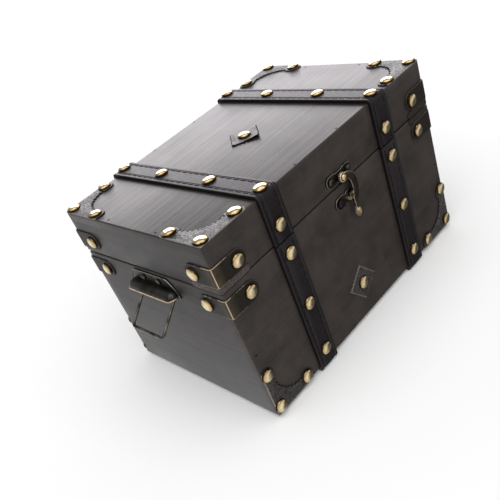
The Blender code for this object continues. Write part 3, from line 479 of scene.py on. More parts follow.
def leather(name, dark, light, cell, depth, roughness, shine, rubbed=None, creased=False):
    """A leather whose face has cells of a given size with painted shade in their valleys, perhaps rubbed
    lighter near a fold, perhaps creased with painted shade in the creases.
    """
    finish = Finish(name, light, roughness).give("Specular IOR Level", shine)
    warped = finish.noise(90.0, 2, 0.5)
    pebble_height_and_shade = finish.spread(finish.cells(cell), 0.02, 0.28)
    over = finish.bump(finish.noise(2600.0, 3, 0.6), 0.15, LEATHER_PORE_DEPTH)
    # Painted shade: the valleys between the pebbles take the dark colour, the pebbles' tops the light one.
    tone = finish.mix(pebble_height_and_shade, dark, light)
    tone = finish.mix(finish.spread(warped, 0.35, 0.65, 0.0, 0.6), tone, dark)
    if creased:
        hills = finish.maths("MULTIPLY", finish.noise(135.0, 2, 0.5, 1.2), CREASE_TURNS)
        crease_ridges_and_shade = finish.spread(finish.maths("PINGPONG", hills, 0.5), 0.05, 0.26)
        # Painted shade: the crease valleys are darkened towards the dark colour.
        tone = finish.mix(finish.spread(crease_ridges_and_shade, 0.0, 1.0, 0.85, 0.0), tone, dark)
        over = finish.bump(crease_ridges_and_shade, 0.8, CREASE_DEPTH, over)
    if rubbed:
        near = finish.maths("MULTIPLY", finish.spread(finish.attribute("rub"), 0.72, 1.0),
                            finish.spread(warped, 0.3, 0.6, 0.4, 1.0))
        tone = finish.mix(near, tone, rubbed)
    gloss = finish.maths("ADD", finish.spread(pebble_height_and_shade, 0.0, 1.0, 0.12, 0.0), roughness)
    over = finish.bump(pebble_height_and_shade, 0.6, depth, over)
    return finish.give("Base Color", tone).give("Roughness", gloss).give("Normal", over).material


strap_leather = leather("strap_leather", STRAP_DARK_AND_SHADE, STRAP_LIGHT, 1.1 * MM, 0.06 * MM, 0.35, 0.24)
corner_leather = leather("corner_leather", CORNER_DARK_AND_SHADE, CORNER_LIGHT, 1.9 * MM, 0.09 * MM, 0.36, 0.48,
                         creased=True)
tab_leather = leather("tab_leather", TAB_DARK_AND_SHADE, TAB_BROWN, 1.2 * MM, 0.06 * MM, 0.36, 0.15, RUBBED_BROWN)
print("leathers:", strap_leather.name, corner_leather.name, tab_leather.name)

# %% [markdown]
# Small leather edges differ from the faces. The cut edge and the fold of a tab are worn to old gold in
# places, the rims of the corner patches are pale and dry, and the tabs' linings are pale or brown.
# The straps' cut edges and their thread are plain and nearly black. The near-black cut edge also stands on
# the sides of the corner patches and the lid's diamond, where it is partly the leather's dark edge and partly
# painted shade along and under those edges.

# %% Edges, linings and thread
OLD_GOLD = (0.42, 0.34, 0.23)


def worn_edge(name, base, rubbed, metal, amount, near_fold=False):
    """An edge rubbed bright in places, and on a tab more so near its fold."""
    finish = Finish(name, rubbed, 0.36, metal)
    patchy = finish.noise(160.0, 3, 0.6)
    if near_fold:
        patchy = finish.maths("ADD", patchy, finish.spread(finish.attribute("rub"), 0.0, 1.0, -0.22, 0.16))
    worn = finish.spread(patchy, 0.5 - amount / 2, 0.62 - amount / 2)
    finish.give("Base Color", finish.mix(worn, base, rubbed))
    finish.give("Roughness", finish.spread(worn, 0.0, 1.0, 0.45, 0.32))
    return finish.give("Metallic", finish.spread(worn, 0.0, 1.0, 0.0, metal)).material


def plain_finish(name, colour, roughness, shine):
    """A finish for parts too small to show a pattern."""
    return Finish(name, colour, roughness).give("Specular IOR Level", shine).material


tab_edge = worn_edge("tab_edge_gold", TAB_BROWN, OLD_GOLD, 0.7, 0.06, near_fold=True)
tab_hem = leather("tab_hem", (0.030, 0.022, 0.020), (0.16, 0.135, 0.125), 0.9 * MM, 0.25 * MM, 0.42, 0.3)
pale_rim = leather("patch_rim", (0.10, 0.09, 0.085), (0.25, 0.23, 0.22), 0.8 * MM, 0.1 * MM, 0.42, 0.35)
hem_brown = leather("hem_brown", (0.012, 0.009, 0.007), (0.032, 0.025, 0.020), 1.2 * MM, 0.06 * MM, 0.40, 0.2)
thread = plain_finish("strap_stitch", (0.008, 0.006, 0.007), 0.5, 0.14)
# Painted shade in part: this near-black finish on the cut edges of straps, patches and the lid diamond also
# stands in for the shade along and under them.
dark_cut_edge_and_shade = plain_finish("strap_cut_edge_and_shade", (0.007, 0.005, 0.006), 0.65, 0.15)
print("edges:", tab_edge.name, tab_hem.name, pale_rim.name, hem_brown.name, thread.name, dark_cut_edge_and_shade.name)

# %% [markdown]
# The metal is of two kinds. The nails are pale old brass, paler towards the crown, partly from polish and
# partly as a painted highlight, and near black in a ring at the foot, painted shade with a little tarnish;
# the number stored on each nail's own mesh tells the finish how far in from the rim each point is. The hook,
# plates, bails and hinges are antiqued bronze, nearly black in the hollows and rubbed bright along their
# edges.

# %% Metals
NAIL_WAVE_DEPTH = 0.4 * MM
TARNISH_DEPTH = 0.06 * MM


def nail_brass():
    """Old brass, paler towards the crown with a painted highlight and near black at the foot with painted
    shade.
    """
    finish = Finish("nail_brass", (0.62, 0.48, 0.26), 0.24, 1.0)
    stains = finish.spread(finish.noise(420.0, 3, 0.6), 0.3, 0.7, -0.05, 0.05)
    inward = finish.maths("ADD", finish.attribute("crown"), stains)
    # Painted shade: a near-black ring at the foot, with a little tarnish.
    foot_ring_shade = finish.spread(inward, 0.05, 0.15)
    patches = finish.spread(finish.noise(260.0, 2, 0.5), 0.50, 0.70, 0.0, 0.5)
    # Painted highlight in part: the brass is paler towards the crown, partly polish wear.
    tone = finish.mix(finish.spread(inward, 0.15, 0.60), (0.50, 0.36, 0.17), (0.80, 0.68, 0.45))
    tone = finish.mix(patches, tone, (0.36, 0.27, 0.13))
    finish.give("Base Color", finish.mix(foot_ring_shade, (0.018, 0.010, 0.005), tone))
    finish.give("Roughness", finish.maths("ADD", finish.spread(foot_ring_shade, 0.0, 1.0, 0.25, 0.0), 0.13))
    return finish.give("Normal", finish.bump(finish.noise(300.0, 1, 0.4), 0.6, NAIL_WAVE_DEPTH)).material


def bronze(name, dark, light, roughness):
    """Antiqued bronze with cloudy tarnish."""
    finish = Finish(name, light, roughness, 0.9)
    clean = finish.spread(finish.noise(130.0, 3, 0.5), 0.38, 0.66)
    finish.give("Base Color", finish.mix(clean, dark, light))
    finish.give("Roughness", finish.spread(clean, 0.0, 1.0, roughness + 0.12, roughness))
    return finish.give("Normal", finish.bump(finish.noise(1500.0, 2, 0.5), 0.25, TARNISH_DEPTH)).material


brass = nail_brass()
dark_bronze = bronze("dark_bronze", (0.014, 0.013, 0.013), (0.050, 0.046, 0.041), 0.30)
hook_bronze = bronze("hook_bronze", (0.030, 0.025, 0.020), (0.090, 0.074, 0.055), 0.28)
screw_bronze = bronze("screw_bronze", (0.018, 0.016, 0.014), (0.095, 0.084, 0.068), 0.24)
wire_bronze = bronze("wire_bronze", (0.030, 0.027, 0.022), (0.14, 0.125, 0.10), 0.18)
plate_edge = worn_edge("plate_edge", (0.022, 0.020, 0.018), (0.30, 0.26, 0.20), 1.0, 0.25)
# The rubbed gold is wear on the hook, post and rivet, and a painted highlight along the hood's lip.
rubbed_gold_and_highlight = worn_edge("rubbed_gold_and_highlight", (0.11, 0.065, 0.030), (0.62, 0.49, 0.32), 1.0, 0.25)
brad_steel = plain_finish("brad_head", (0.006, 0.005, 0.005), 0.7, 0.08)
print("metals:", brass.name, dark_bronze.name, hook_bronze.name, screw_bronze.name, wire_bronze.name)

# %% [markdown]
# Bevel can give the faces it makes another finish, but only where the mesh already has a second slot. So a
# new piece gets three slots at once: its own finish, that of its edges, and that of places rubbed bright,
# which on the hood's lip is a painted highlight.
# Which finishes stand in them in the end is decided when the piece is finished.

# %% Slots to mark edges with
EDGE = 1
RUBBED_AND_HIGHLIGHT = 2
METAL_SMOOTH = 30


def with_slots(piece):
    """Give a new piece slots for its own finish, its edges, and its rubbed places and painted highlights."""
    for finish in (dark_bronze, plate_edge, rubbed_gold_and_highlight):
        piece.data.materials.append(finish)
    return piece


def finish_metal(piece, name, body, node, metal=dark_bronze):
    """Finish a metal piece that has bright edges and rubbed places, some of them painted highlights."""
    metals = [metal, plate_edge, rubbed_gold_and_highlight]
    return finish_piece(piece, name, body, metals, [node], METAL_SMOOTH)


print("edge slot:", plate_edge.name, "rubbed slot:", rubbed_gold_and_highlight.name)

# %% [markdown]
# ## The boards
# Each board is a cube stretched to its solid's size. Only the edges on the outside of the chest are rounded,
# because the glued joints between boards are flush and hardly show. The 0.3 mm that the solids keep apart is
# closed by letting a board reach its neighbour. The lid board's front edge takes the front boards' copy of
# the wood, whose lighter stain and lower shine paint in the front's brightness under this light.

# %% Boards with rounded outer edges
FIT_GAP = 0.3 * MM
EDGE_ROUND = 1.1 * MM
EDGE_STEPS = 4
FACES_FRONT = -0.7
STILL = (0, 0, 0)
BODY_ENDS = (WOOD_BOTTOM, RIM)
LID_ENDS = (LID_RIM, LID_TOP)
NO_ENDS = (math.inf,)


def board(name, node, body, finishes, ends, reach_low=STILL, reach_high=STILL):
    """A board with its outer edges rounded, reaching its neighbours at its low and high sides."""
    low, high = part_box(node)
    low = low - Vector(reach_low) * FIT_GAP
    high = high + Vector(reach_high) * FIT_GAP
    piece = with_slots(new_cube((low + high) / 2, high - low))

    def outside(edge):
        """Whether an edge lies in two of the chest's outer planes."""
        place = middle(edge)
        sides = [abs(abs(place.x) - HALF_WIDTH), abs(abs(place.y) - HALF_DEPTH),
                 min(abs(place.z - end) for end in ends)]
        return sum(gap < TOLERANCE for gap in sides) >= 2

    round_edges(piece, outside, EDGE_ROUND, EDGE_STEPS)
    mark_faces(piece, EDGE, lambda face: face.normal.y < FACES_FRONT)
    return finish_piece(piece, name, body, finishes, [node])


board("front_board", "body_front_panel", "body", [wood_front_painted_tone], BODY_ENDS)
board("back_board", "body_back_panel", "body", [wood_x], BODY_ENDS)
board("floor_board", "base_board", "body", [wood_x], NO_ENDS, (1, 1, 0), (1, 1, 0))
board("lid_board", "lid_top_board", "lid", [wood_x, wood_front_painted_tone], LID_ENDS)
board("lid_front_board", "lid_front_rail", "lid", [wood_front_painted_tone], LID_ENDS, STILL, (0, 0, 1))
board("lid_back_board", "lid_back_rail", "lid", [wood_x], LID_ENDS, STILL, (0, 0, 1))
for side in ("left", "right"):
    board(side + "_board", "body_" + side + "_panel", "body", [wood_y], BODY_ENDS, (0, 1, 0), (0, 1, 0))
    board("lid_" + side + "_board", "lid_" + side + "_rail", "lid", [wood_y], LID_ENDS, (0, 1, 0), (0, 1, 1))
print("boards made: 10, edges rounded by %.1f mm" % (EDGE_ROUND / MM))

# %% [markdown]
# ## The nails
# A domed nail is half a sphere with a short upright rim. Half a sphere is cut off with bisect, flattened,
# and its open edge is pulled down and in. Each vertex stores how far in from the rim it is, which the brass
# uses for a near-black ring at the foot, painted shade with a little tarnish, and for a paler crown, partly
# a painted highlight. A soft bump makes the highlight wander on each nail.

# %% One domed nail
NAIL_RADIUS = 4.7 * MM
NAIL_HEIGHT = 2.5 * MM
NAIL_RIM = 0.45 * MM
RIM_BULGE_SHARE = 1.03
RIM_TUCK_SHARE = 0.94
NAIL_SMOOTH = 40


def make_nail():
    """A domed nail at the origin, pointing up."""
    nail = new_sphere(segments=28, rings=16, radius=NAIL_RADIUS)
    slice_across(nail, (0, 0, 0), (0, 0, 1), cut_off=True)
    bpy.ops.mesh.select_all(action="SELECT")
    flatten = (NAIL_HEIGHT - NAIL_RIM) / NAIL_RADIUS
    bpy.ops.transform.resize(value=(1, 1, flatten), center_override=(0, 0, 0))
    bpy.ops.transform.translate(value=(0, 0, NAIL_RIM))
    pick(nail, "EDGE", lambda edge: middle(edge).z < NAIL_RIM + TOLERANCE)
    for drop, share in ((NAIL_RIM / 2, RIM_BULGE_SHARE), (NAIL_RIM, RIM_TUCK_SHARE)):
        extrude(0, 0, -drop)
        bpy.ops.transform.resize(value=(share, share, 1))
    bpy.ops.mesh.edge_face_add()
    bpy.ops.object.mode_set(mode="OBJECT")
    crown = nail.data.attributes.new("crown", "FLOAT", "POINT")
    for index, vert in enumerate(nail.data.vertices):
        crown.data[index].value = max(0.0, 1 - vert.co.xy.length / NAIL_RADIUS)
    bpy.ops.object.shade_smooth_by_angle(angle=NAIL_SMOOTH * DEG)
    face_outwards(nail)
    return nail


nail_pattern = make_nail()
nail_heights = [vert.co.z / MM for vert in nail_pattern.data.vertices]
print("nail pattern: %d faces, from %.2f to %.2f mm" % (
    len(nail_pattern.data.polygons), min(nail_heights), max(nail_heights)))

# %% [markdown]
# Nails driven by hand never stand quite alike. Each copy is tipped by up to three degrees and turned freely,
# from one seeded row of random numbers, so every run of this script gives the same chest. The nails of one
# strap or patch are joined, because they move together.

# %% Nails in their places
NAIL_TIP = 3
NAIL_ROW_SMOOTH = 45
chance = random.Random(7)


def nails_at(name, body, places):
    """One object with a nail at each place, each turned and tipped a little differently."""
    copies = []
    for place in places:
        tip = turned(chance.uniform(-NAIL_TIP, NAIL_TIP), "X")
        tip = tip @ turned(chance.uniform(-NAIL_TIP, NAIL_TIP), "Y")
        copies.append(copy_to(nail_pattern, place @ tip @ turned(chance.uniform(0, 360), "Z")))
    return finish_piece(join_pieces(copies), name, body, [brass], smooth=NAIL_ROW_SMOOTH)


print("nails tip by up to", NAIL_TIP, "degrees")

# %% [markdown]
# ## The straps
# A strap is one section swept round the chest. The section is drawn first: rounded cut edges and two shallow
# grooves in which the stitches lie. A filled circle gives as many corner points as the section needs. The
# face is then extruded down the front, spun round the corner, run along, spun again and taken up the back.

# %% The strap's section
STRAP_THICKNESS = 2.2 * MM + FIT_GAP
STITCH_INSET = 3.0 * MM
GROOVE_HALF = 1.15 * MM
GROOVE_DEPTH = 0.32 * MM
EDGE_SOFT = 0.45 * MM
FOOT_TUCK = 0.2 * MM
FOOT_RISE = 0.35 * MM
ROUND_SHARES = ((0, 1), (0.13, 0.5), (0.5, 0.13), (1, 0))
GROOVE_SHARES = ((1, 0), (0.72, 0.75), (0.4, 1), (-0.4, 1), (-0.72, 0.75), (-1, 0))


def strap_section():
    """Points (across, out) of the section, round from one lower edge to the other."""
    half = STRAP_WIDTH / 2
    top = STRAP_THICKNESS
    row = half - STITCH_INSET
    side = [(half - FOOT_TUCK, 0), (half, FOOT_RISE)]
    side += [(half - EDGE_SOFT * inward, top - EDGE_SOFT * down) for inward, down in ROUND_SHARES]
    side += [(row + GROOVE_HALF * across, top - GROOVE_DEPTH * down) for across, down in GROOVE_SHARES]
    return side + [(-across, out) for across, out in reversed(side)]


def outline_face(points):
    """A filled circle whose vertices are dragged to an outline's points."""
    clear_selection()
    bpy.ops.mesh.primitive_circle_add(vertices=len(points), radius=MM, fill_type="NGON")
    face = with_slots(bpy.context.object)
    for vert, point in zip(face.data.vertices, points):
        vert.co = (point[0], point[1], 0)
    return face


print("strap section:", len(strap_section()), "points")

# %% [markdown]
# The four straps follow: two on the body, open at the rim, and two on the lid, open at the seam. Their free
# ends are rounded a little, and the long cut edges take the dark finish of cut leather, which also paints the
# shade on the straps' sides.

# %% Four straps
STRAP_BEND = 0.7 * MM
BEND_STEPS = 8
STRAP_END_ROUND = 0.3 * MM
CUT_EDGE_BAND = 0.12 * MM
FACES_ASIDE = 0.9


def sweep_strap(across, free_z, closed_z):
    """The section swept from the front's free end, round the closed side, to the back's free end."""
    away = 1 if closed_z > free_z else -1
    strap = outline_face([(x, -out) for x, out in strap_section()])
    strap.data.transform(moved(across, -HALF_DEPTH, free_z))
    pick_all(strap)
    run = closed_z - away * STRAP_BEND
    inner = HALF_DEPTH - STRAP_BEND
    extrude(0, 0, run - free_z)
    bpy.ops.mesh.spin(steps=BEND_STEPS, angle=away * 90 * DEG, center=(across, -inner, run), axis=(1, 0, 0))
    extrude(0, 2 * inner, 0)
    bpy.ops.mesh.spin(steps=BEND_STEPS, angle=away * 90 * DEG, center=(across, inner, run), axis=(1, 0, 0))
    extrude(0, 0, free_z - run)
    face_outwards(strap)
    return strap


def on_free_end(free_z):
    """A test for the edges round a strap's free ends, outside the wood."""
    return lambda edge: abs(middle(edge).z - free_z) < TOLERANCE and middle(edge).y ** 2 > HALF_DEPTH ** 2


def on_cut_edge(across):
    """A test for the faces along a strap's cut edges."""
    return lambda face: (abs(abs(face.center.x - across) - STRAP_WIDTH / 2) < CUT_EDGE_BAND
                         and abs(face.normal.x) > FACES_ASIDE)


for side, sign in SIDES:
    for part, free_z, closed_z in (("body", RIM, WOOD_BOTTOM), ("lid", LID_RIM, LID_TOP)):
        strap = sweep_strap(sign * STRAP_ACROSS, free_z, closed_z)
        round_edges(strap, on_free_end(free_z), STRAP_END_ROUND)
        mark_faces(strap, EDGE, on_cut_edge(sign * STRAP_ACROSS))
        finish_piece(strap, "strap_" + part + "_" + side, part, [strap_leather, dark_cut_edge_and_shade],
                     [part + "_strap_" + side])
strap_heights = [vert.co.z / MM for vert in strap.data.vertices]
print("straps made: 4, the last from %.1f to %.1f mm up" % (min(strap_heights), max(strap_heights)))

# %% [markdown]
# The stitches are short plump bars of thread lying end to end in the grooves. One is modelled from a sphere
# by stretching it, and copies are laid along the rows on the front, the top and the back. Real geometry
# is used instead of a bump, because the straps are seen from close by and at a low angle.

# %% Stitches along the straps
STITCH_PITCH = 6.2 * MM
STITCH_LENGTH = 5.3 * MM
STITCH_WIDTH = 1.45 * MM
STITCH_RISE = 0.62 * MM
STITCH_LIFT_SHARE = 0.12
STITCH_OUT = STRAP_THICKNESS - GROOVE_DEPTH + STITCH_RISE * STITCH_LIFT_SHARE

stitch_pattern = new_sphere(segments=8, rings=8, radius=0.5, turn=(0, 90 * DEG, 0))
stitch_pattern.data.transform(Matrix.Diagonal((STITCH_LENGTH, STITCH_WIDTH, STITCH_RISE, 1)))


def stitch_row(face, start, end, across):
    """Places of stitches along one row of one face, between two distances along it."""
    count = int((end - start) / STITCH_PITCH)
    slack = ((end - start) - count * STITCH_PITCH) / 2
    places = []
    for index in range(count):
        along = start + slack + (index + 0.5) * STITCH_PITCH
        if face == "top":
            places.append(on_top(across, along, STITCH_OUT, 90))
        else:
            spot = across if face == "front" else -across
            places.append(on_face(face, spot, along, STITCH_OUT) @ turned(90, "Z"))
    return places


BODY_RUNS = (("front", *BODY_ENDS), ("back", *BODY_ENDS))
LID_RUNS = (("front", *LID_ENDS), ("back", *LID_ENDS), ("top", -HALF_DEPTH, HALF_DEPTH))
for side, sign in SIDES:
    for part, runs in (("body", BODY_RUNS), ("lid", LID_RUNS)):
        places = []
        for face, start, end in runs:
            for row in (-1, 1):
                across = sign * STRAP_ACROSS + row * (STRAP_WIDTH / 2 - STITCH_INSET)
                places += stitch_row(face, start, end, across)
        stitches = join_pieces([copy_to(stitch_pattern, place) for place in places])
        finish_piece(stitches, "stitches_" + part + "_" + side, part, [thread], smooth=180)
discard(stitch_pattern)
print("stitches on the last strap:", len(places))

# %% [markdown]
# Six nails hold each lid strap, four on the top and one near each free end. Each body strap has three in
# front and three behind. Their heights are measured from the seam, the rim and the foot.

# %% Nails of the straps
TOP_NAIL_INSET = 2.6 * MM
TOP_NAIL_MIDDLE = 24.6 * MM
LID_NAIL_RISE = 11.4 * MM
BODY_NAIL_DROP = 9.3 * MM
BODY_NAIL_RISE = 12.8 * MM
top_nail_end = HALF_DEPTH - TOP_NAIL_INSET
top_reaches = (-top_nail_end, -TOP_NAIL_MIDDLE, TOP_NAIL_MIDDLE, top_nail_end)
low_nail = WOOD_BOTTOM + BODY_NAIL_RISE
high_nail = RIM - BODY_NAIL_DROP
for side, sign in SIDES:
    across = sign * STRAP_ACROSS
    ends = (("front", across), ("back", -across))
    places = [on_top(across, reach, STRAP_THICKNESS) for reach in top_reaches]
    places += [on_face(face, spot, SEAM + LID_NAIL_RISE, STRAP_THICKNESS) for face, spot in ends]
    nails_at("nails_lid_strap_" + side, "lid", places)
    places = [on_face(face, spot, height, STRAP_THICKNESS)
              for face, spot in ends for height in (low_nail, (low_nail + high_nail) / 2, high_nail)]
    nails_at("nails_body_strap_" + side, "body", places)
print("strap nails made: 24")

# %% [markdown]
# ## Corner patches and diamonds
# These are flat pieces of creased leather, cut with pinking shears. The outline is a list of corners, some
# of them rounded by an arc. This helper puts the arcs in, and the latch's and handles' plates use it too.

# %% Outlines with rounded corners
NEARLY_STRAIGHT = 179 * DEG


def rounded(corners, steps=5):
    """Turn (x, y, radius) corners of a closed outline into points, with an arc at each corner."""
    points = []
    for index, (x, y, radius) in enumerate(corners):
        here = Vector((x, y))
        before = Vector(corners[index - 1][:2]) - here
        after = Vector(corners[(index + 1) % len(corners)][:2]) - here
        angle = before.angle(after)
        if radius <= 0 or angle > NEARLY_STRAIGHT:
            points.append(here)
            continue
        setback = min(radius / math.tan(angle / 2), before.length / 2, after.length / 2)
        bend = setback * math.tan(angle / 2)
        inward = (before.normalized() + after.normalized()).normalized()
        centre = here + inward * (bend / math.sin(angle / 2))
        start = here + before.normalized() * setback - centre
        swing = start.angle_signed(here + after.normalized() * setback - centre)
        for step in range(steps + 1):
            points.append(centre + Matrix.Rotation(-swing * step / steps, 2) @ start)
    return points


print("a rounded square has", len(rounded([(0, 0, 1), (4, 0, 1), (4, 4, 1), (0, 4, 1)])), "points")

# %% [markdown]
# A corner patch has two arms that end in lobes. Its hollow side is a circle whose radius jumps in and out
# from tooth to tooth, and a diamond's sides are cut in the same teeth.

# %% The patch and the diamond
PATCH_THICKNESS = 0.45 * MM + FIT_GAP
PATCH_ARM = 38.4 * MM
PATCH_ARM_WIDTH = 7.6 * MM
PATCH_HOLLOW = 20.0 * MM
PATCH_TOOTH = 1.5 * MM
PATCH_LOBE = 6.0 * MM
PATCH_CORNER = 0.8 * MM
PATCH_NAIL_INSET = 4.3 * MM
TEETH = 9
DIAMOND_REACH = 14.3 * MM
DIAMOND_PINK = 0.80 * MM
PINKS = 7


def patch_outline():
    """A corner patch with its corner at the origin and its arms along +x and +y."""
    lobe_top = PATCH_NAIL_INSET + PATCH_LOBE
    hollow = PATCH_ARM_WIDTH + PATCH_HOLLOW
    arm = [(PATCH_ARM, 0, PATCH_LOBE / 2), (PATCH_ARM, lobe_top, PATCH_LOBE),
           (hollow, lobe_top, PATCH_LOBE / 3)]
    teeth = []
    for step in range(2 * TEETH + 1):
        angle = 90 * DEG * step / (2 * TEETH)
        reach = PATCH_HOLLOW - PATCH_TOOTH * (step % 2)
        teeth.append((hollow - reach * math.sin(angle), hollow - reach * math.cos(angle), 0))
    other = [(y, x, bend) for x, y, bend in reversed(arm)]
    return rounded([(0, 0, PATCH_CORNER), *arm, *teeth, *other])


def diamond_outline():
    """A square on its corner with pinked edges."""
    corners = [Vector(tip) * DIAMOND_REACH for tip in ((1, 0), (0, 1), (-1, 0), (0, -1))]
    points = []
    for index, corner in enumerate(corners):
        side = corners[(index + 1) % len(corners)] - corner
        inward = Vector((-side.y, side.x)).normalized() * DIAMOND_PINK
        for step in range(PINKS):
            points.append(corner + side * (step / PINKS))
            points.append(corner + side * ((step + 0.5) / PINKS) + inward)
    return points


print("patch outline:", len(patch_outline()), "points, diamond:", len(diamond_outline()))

# %% [markdown]
# The flat face is extruded to its thickness and its upper edge is rounded over. Where a patch meets the
# chest's own edge a narrow strip is parted off with bisect and rubbed pale, while its cut teeth and sides
# take the near-black edge finish, partly the leather's dark edge and partly painted shade under the teeth.

# %% Cutting a sheet
SHEET_EDGE = 0.25 * MM
UPPER_SHARE = 0.99
SHEET_UPRIGHT = 0.2
PALE_RIM = 0.9 * MM


def cut_sheet(points, thickness, edge=SHEET_EDGE):
    """A flat piece of an outline, lying on z = 0, with its upper edge rounded."""
    piece = outline_face(points)
    pick_all(piece)
    extrude(0, 0, thickness)
    face_outwards(piece)
    round_edges(piece, lambda e: middle(e).z > thickness * UPPER_SHARE and len(e.link_faces) == 2, edge,
                slot=EDGE, clamp=True)
    mark_faces(piece, EDGE, lambda face: abs(face.normal.z) < SHEET_UPRIGHT)
    return piece


def corner_patch(place):
    """A corner patch with its rims along the chest's edges rubbed pale."""
    patch = cut_sheet(patch_outline(), PATCH_THICKNESS)
    for along in (Vector((1, 0, 0)), Vector((0, 1, 0))):
        slice_across(patch, along * PALE_RIM, along)
    bpy.ops.object.mode_set(mode="OBJECT")
    mark_faces(patch, RUBBED_AND_HIGHLIGHT, lambda face: min(face.center.x, face.center.y) < PALE_RIM)
    patch.data.transform(place)
    face_outwards(patch)
    return patch


print("sheet edge rounded by %.2f mm" % (SHEET_EDGE / MM))

# %% [markdown]
# One function makes a patch and drives its three nails. It serves the four corners of the lid's top and the
# four of the foot, which are mirrored by a negative scale. That turns a shape inside out, so each patch has
# its faces turned outwards after it is placed.

# %% Patches on the lid's top and at the foot
PATCH_NAIL_REACH = 32.2 * MM
FOOT_NAIL_RISE = 1.8 * MM
NAIL_SPOTS = ((PATCH_NAIL_INSET, PATCH_NAIL_INSET), (PATCH_NAIL_REACH, PATCH_NAIL_INSET),
              (PATCH_NAIL_INSET, PATCH_NAIL_REACH))


def nailed_patch(name, body, node, place, nail_places):
    """A corner patch at a place, with its nails."""
    finish_piece(corner_patch(place), "patch_" + name, body,
                 [corner_leather, dark_cut_edge_and_shade, pale_rim], [node])
    nails_at("nails_patch_" + name, body, nail_places)


for side, along in SIDES:
    for end, forward in (("front", -1), ("back", 1)):
        where = end + "_" + side
        place = on_top(along * HALF_WIDTH, forward * HALF_DEPTH) @ Matrix.Diagonal((-along, -forward, 1, 1))
        spots = [on_top(along * (HALF_WIDTH - x), forward * (HALF_DEPTH - y), PATCH_THICKNESS)
                 for x, y in NAIL_SPOTS]
        nailed_patch("lid_" + where, "lid", "lid_patch_" + where, place, spots)
        across = along if end == "front" else -along
        place = on_face(end, across * HALF_WIDTH, WOOD_BOTTOM) @ Matrix.Diagonal((-across, 1, 1, 1))
        spots = [on_face(end, across * (HALF_WIDTH - x), WOOD_BOTTOM + y + FOOT_NAIL_RISE, PATCH_THICKNESS)
                 for x, y in NAIL_SPOTS]
        nailed_patch("foot_" + where, "body", "foot_patch_" + where, place, spots)
print("patches made: 8, with 24 nails")

# %% [markdown]
# The diamond on the lid has dried and curls up at its near tip. Bisect gives the flat sheet a few lines to
# bend along, and the vertices past them are lifted, more towards the tip. The front's diamond lies flat, and
# its cut edge is paler and rounder. Each is nailed through its middle.

# %% The two diamonds
CURL_SHARES = (0.42, 0.56, 0.70, 0.84)
CURL_POWER = 1.6
LID_CURLS = (((-0.38, -0.925), 2.6 * MM), ((1, 0), 0.9 * MM), ((-1, 0), 0.3 * MM))
LID_DIAMOND_SHIFT = (-0.2 * MM, -2.6 * MM)
LID_DIAMOND_TURN = 4.0
FRONT_DIAMOND_ACROSS = -3.0 * MM
FRONT_DIAMOND_UP = 27.0 * MM
FRONT_DIAMOND_TURN = -4.7
FRONT_DIAMOND_EDGE = 0.42 * MM


def curl_tip(sheet, direction, lift):
    """Cut a sheet across a few times towards one tip and bend that tip up."""
    towards = Vector((*direction, 0))
    starts = DIAMOND_REACH * CURL_SHARES[0]
    for share in CURL_SHARES:
        slice_across(sheet, towards * DIAMOND_REACH * share, towards)
    bpy.ops.object.mode_set(mode="OBJECT")
    for vert in sheet.data.vertices:
        past = (vert.co.dot(towards) - starts) / (DIAMOND_REACH - starts)
        if past > 0:
            vert.co.z += lift * past ** CURL_POWER


def nailed_diamond(diamond, name, body, finishes, place):
    """A diamond at a place, with its nail."""
    diamond.data.transform(place)
    finish_piece(diamond, "diamond_" + name, body, finishes, [name + "_diamond"])
    nails_at("nail_diamond_" + name, body, [place @ moved(0, 0, PATCH_THICKNESS)])


diamond = cut_sheet(diamond_outline(), PATCH_THICKNESS)
for direction, lift in LID_CURLS:
    curl_tip(diamond, direction, lift)
place = on_top(*LID_DIAMOND_SHIFT, 0, LID_DIAMOND_TURN)
# The lid diamond's cut edges take the near-black edge finish, which also paints the shade under its lifted
# tip.
nailed_diamond(diamond, "lid", "lid", [corner_leather, dark_cut_edge_and_shade], place)
diamond = cut_sheet(diamond_outline(), PATCH_THICKNESS, FRONT_DIAMOND_EDGE)
place = on_face("front", FRONT_DIAMOND_ACROSS, WOOD_BOTTOM + FRONT_DIAMOND_UP)
nailed_diamond(diamond, "front", "body", [corner_leather, pale_rim], place @ turned(FRONT_DIAMOND_TURN, "Z"))
print("diamonds made: 2")

# %% [markdown]
# ## Folded corner tabs
# A tab is a strip with round ends, folded round an upright corner above and below the seam. A flat grid is
# the strip laid out: its end columns are squeezed into half circles, Solidify gives the leather's thickness,
# and then every vertex is carried round the corner along an arc. Its cut edges and its fold take the old
# gold, and each vertex stores how near to the fold it is, so that the wear can follow it.

# %% A tab laid out and folded
TAB_HEIGHT = 13.8 * MM
TAB_THICKNESS = 0.75 * MM + FIT_GAP
TAB_NAIL_REACH = 17.6 * MM
TAB_BEND = 1.1 * MM
TAB_EDGE_ROUND = 0.38 * MM
TAB_COLUMNS = 97
TAB_ROWS = 10
TIP_SHARE = 0.001
STEEP = 0.5
TAB_FACE_SHARE = 0.9
FOLD_HALF = 0.3 * MM
FOLD_CORNER = 225


def end_height(past, half):
    """The share of its height that a column keeps, past the start of the round end."""
    if past <= 0:
        return 1.0
    return math.sqrt(max(0.0, 1 - (past / half) ** 2)) * (1 - TIP_SHARE) + TIP_SHARE


def folded_spot(run, out, bend):
    """Where a point of the flat strip comes to lie when the strip is folded round the corner."""
    reach = TAB_BEND + out
    past = abs(run) - bend
    if past > 0:
        return (past, -reach) if run > 0 else (-reach, past)
    angle = (FOLD_CORNER + 45 * run / bend) * DEG
    return (reach * math.cos(angle), reach * math.sin(angle))


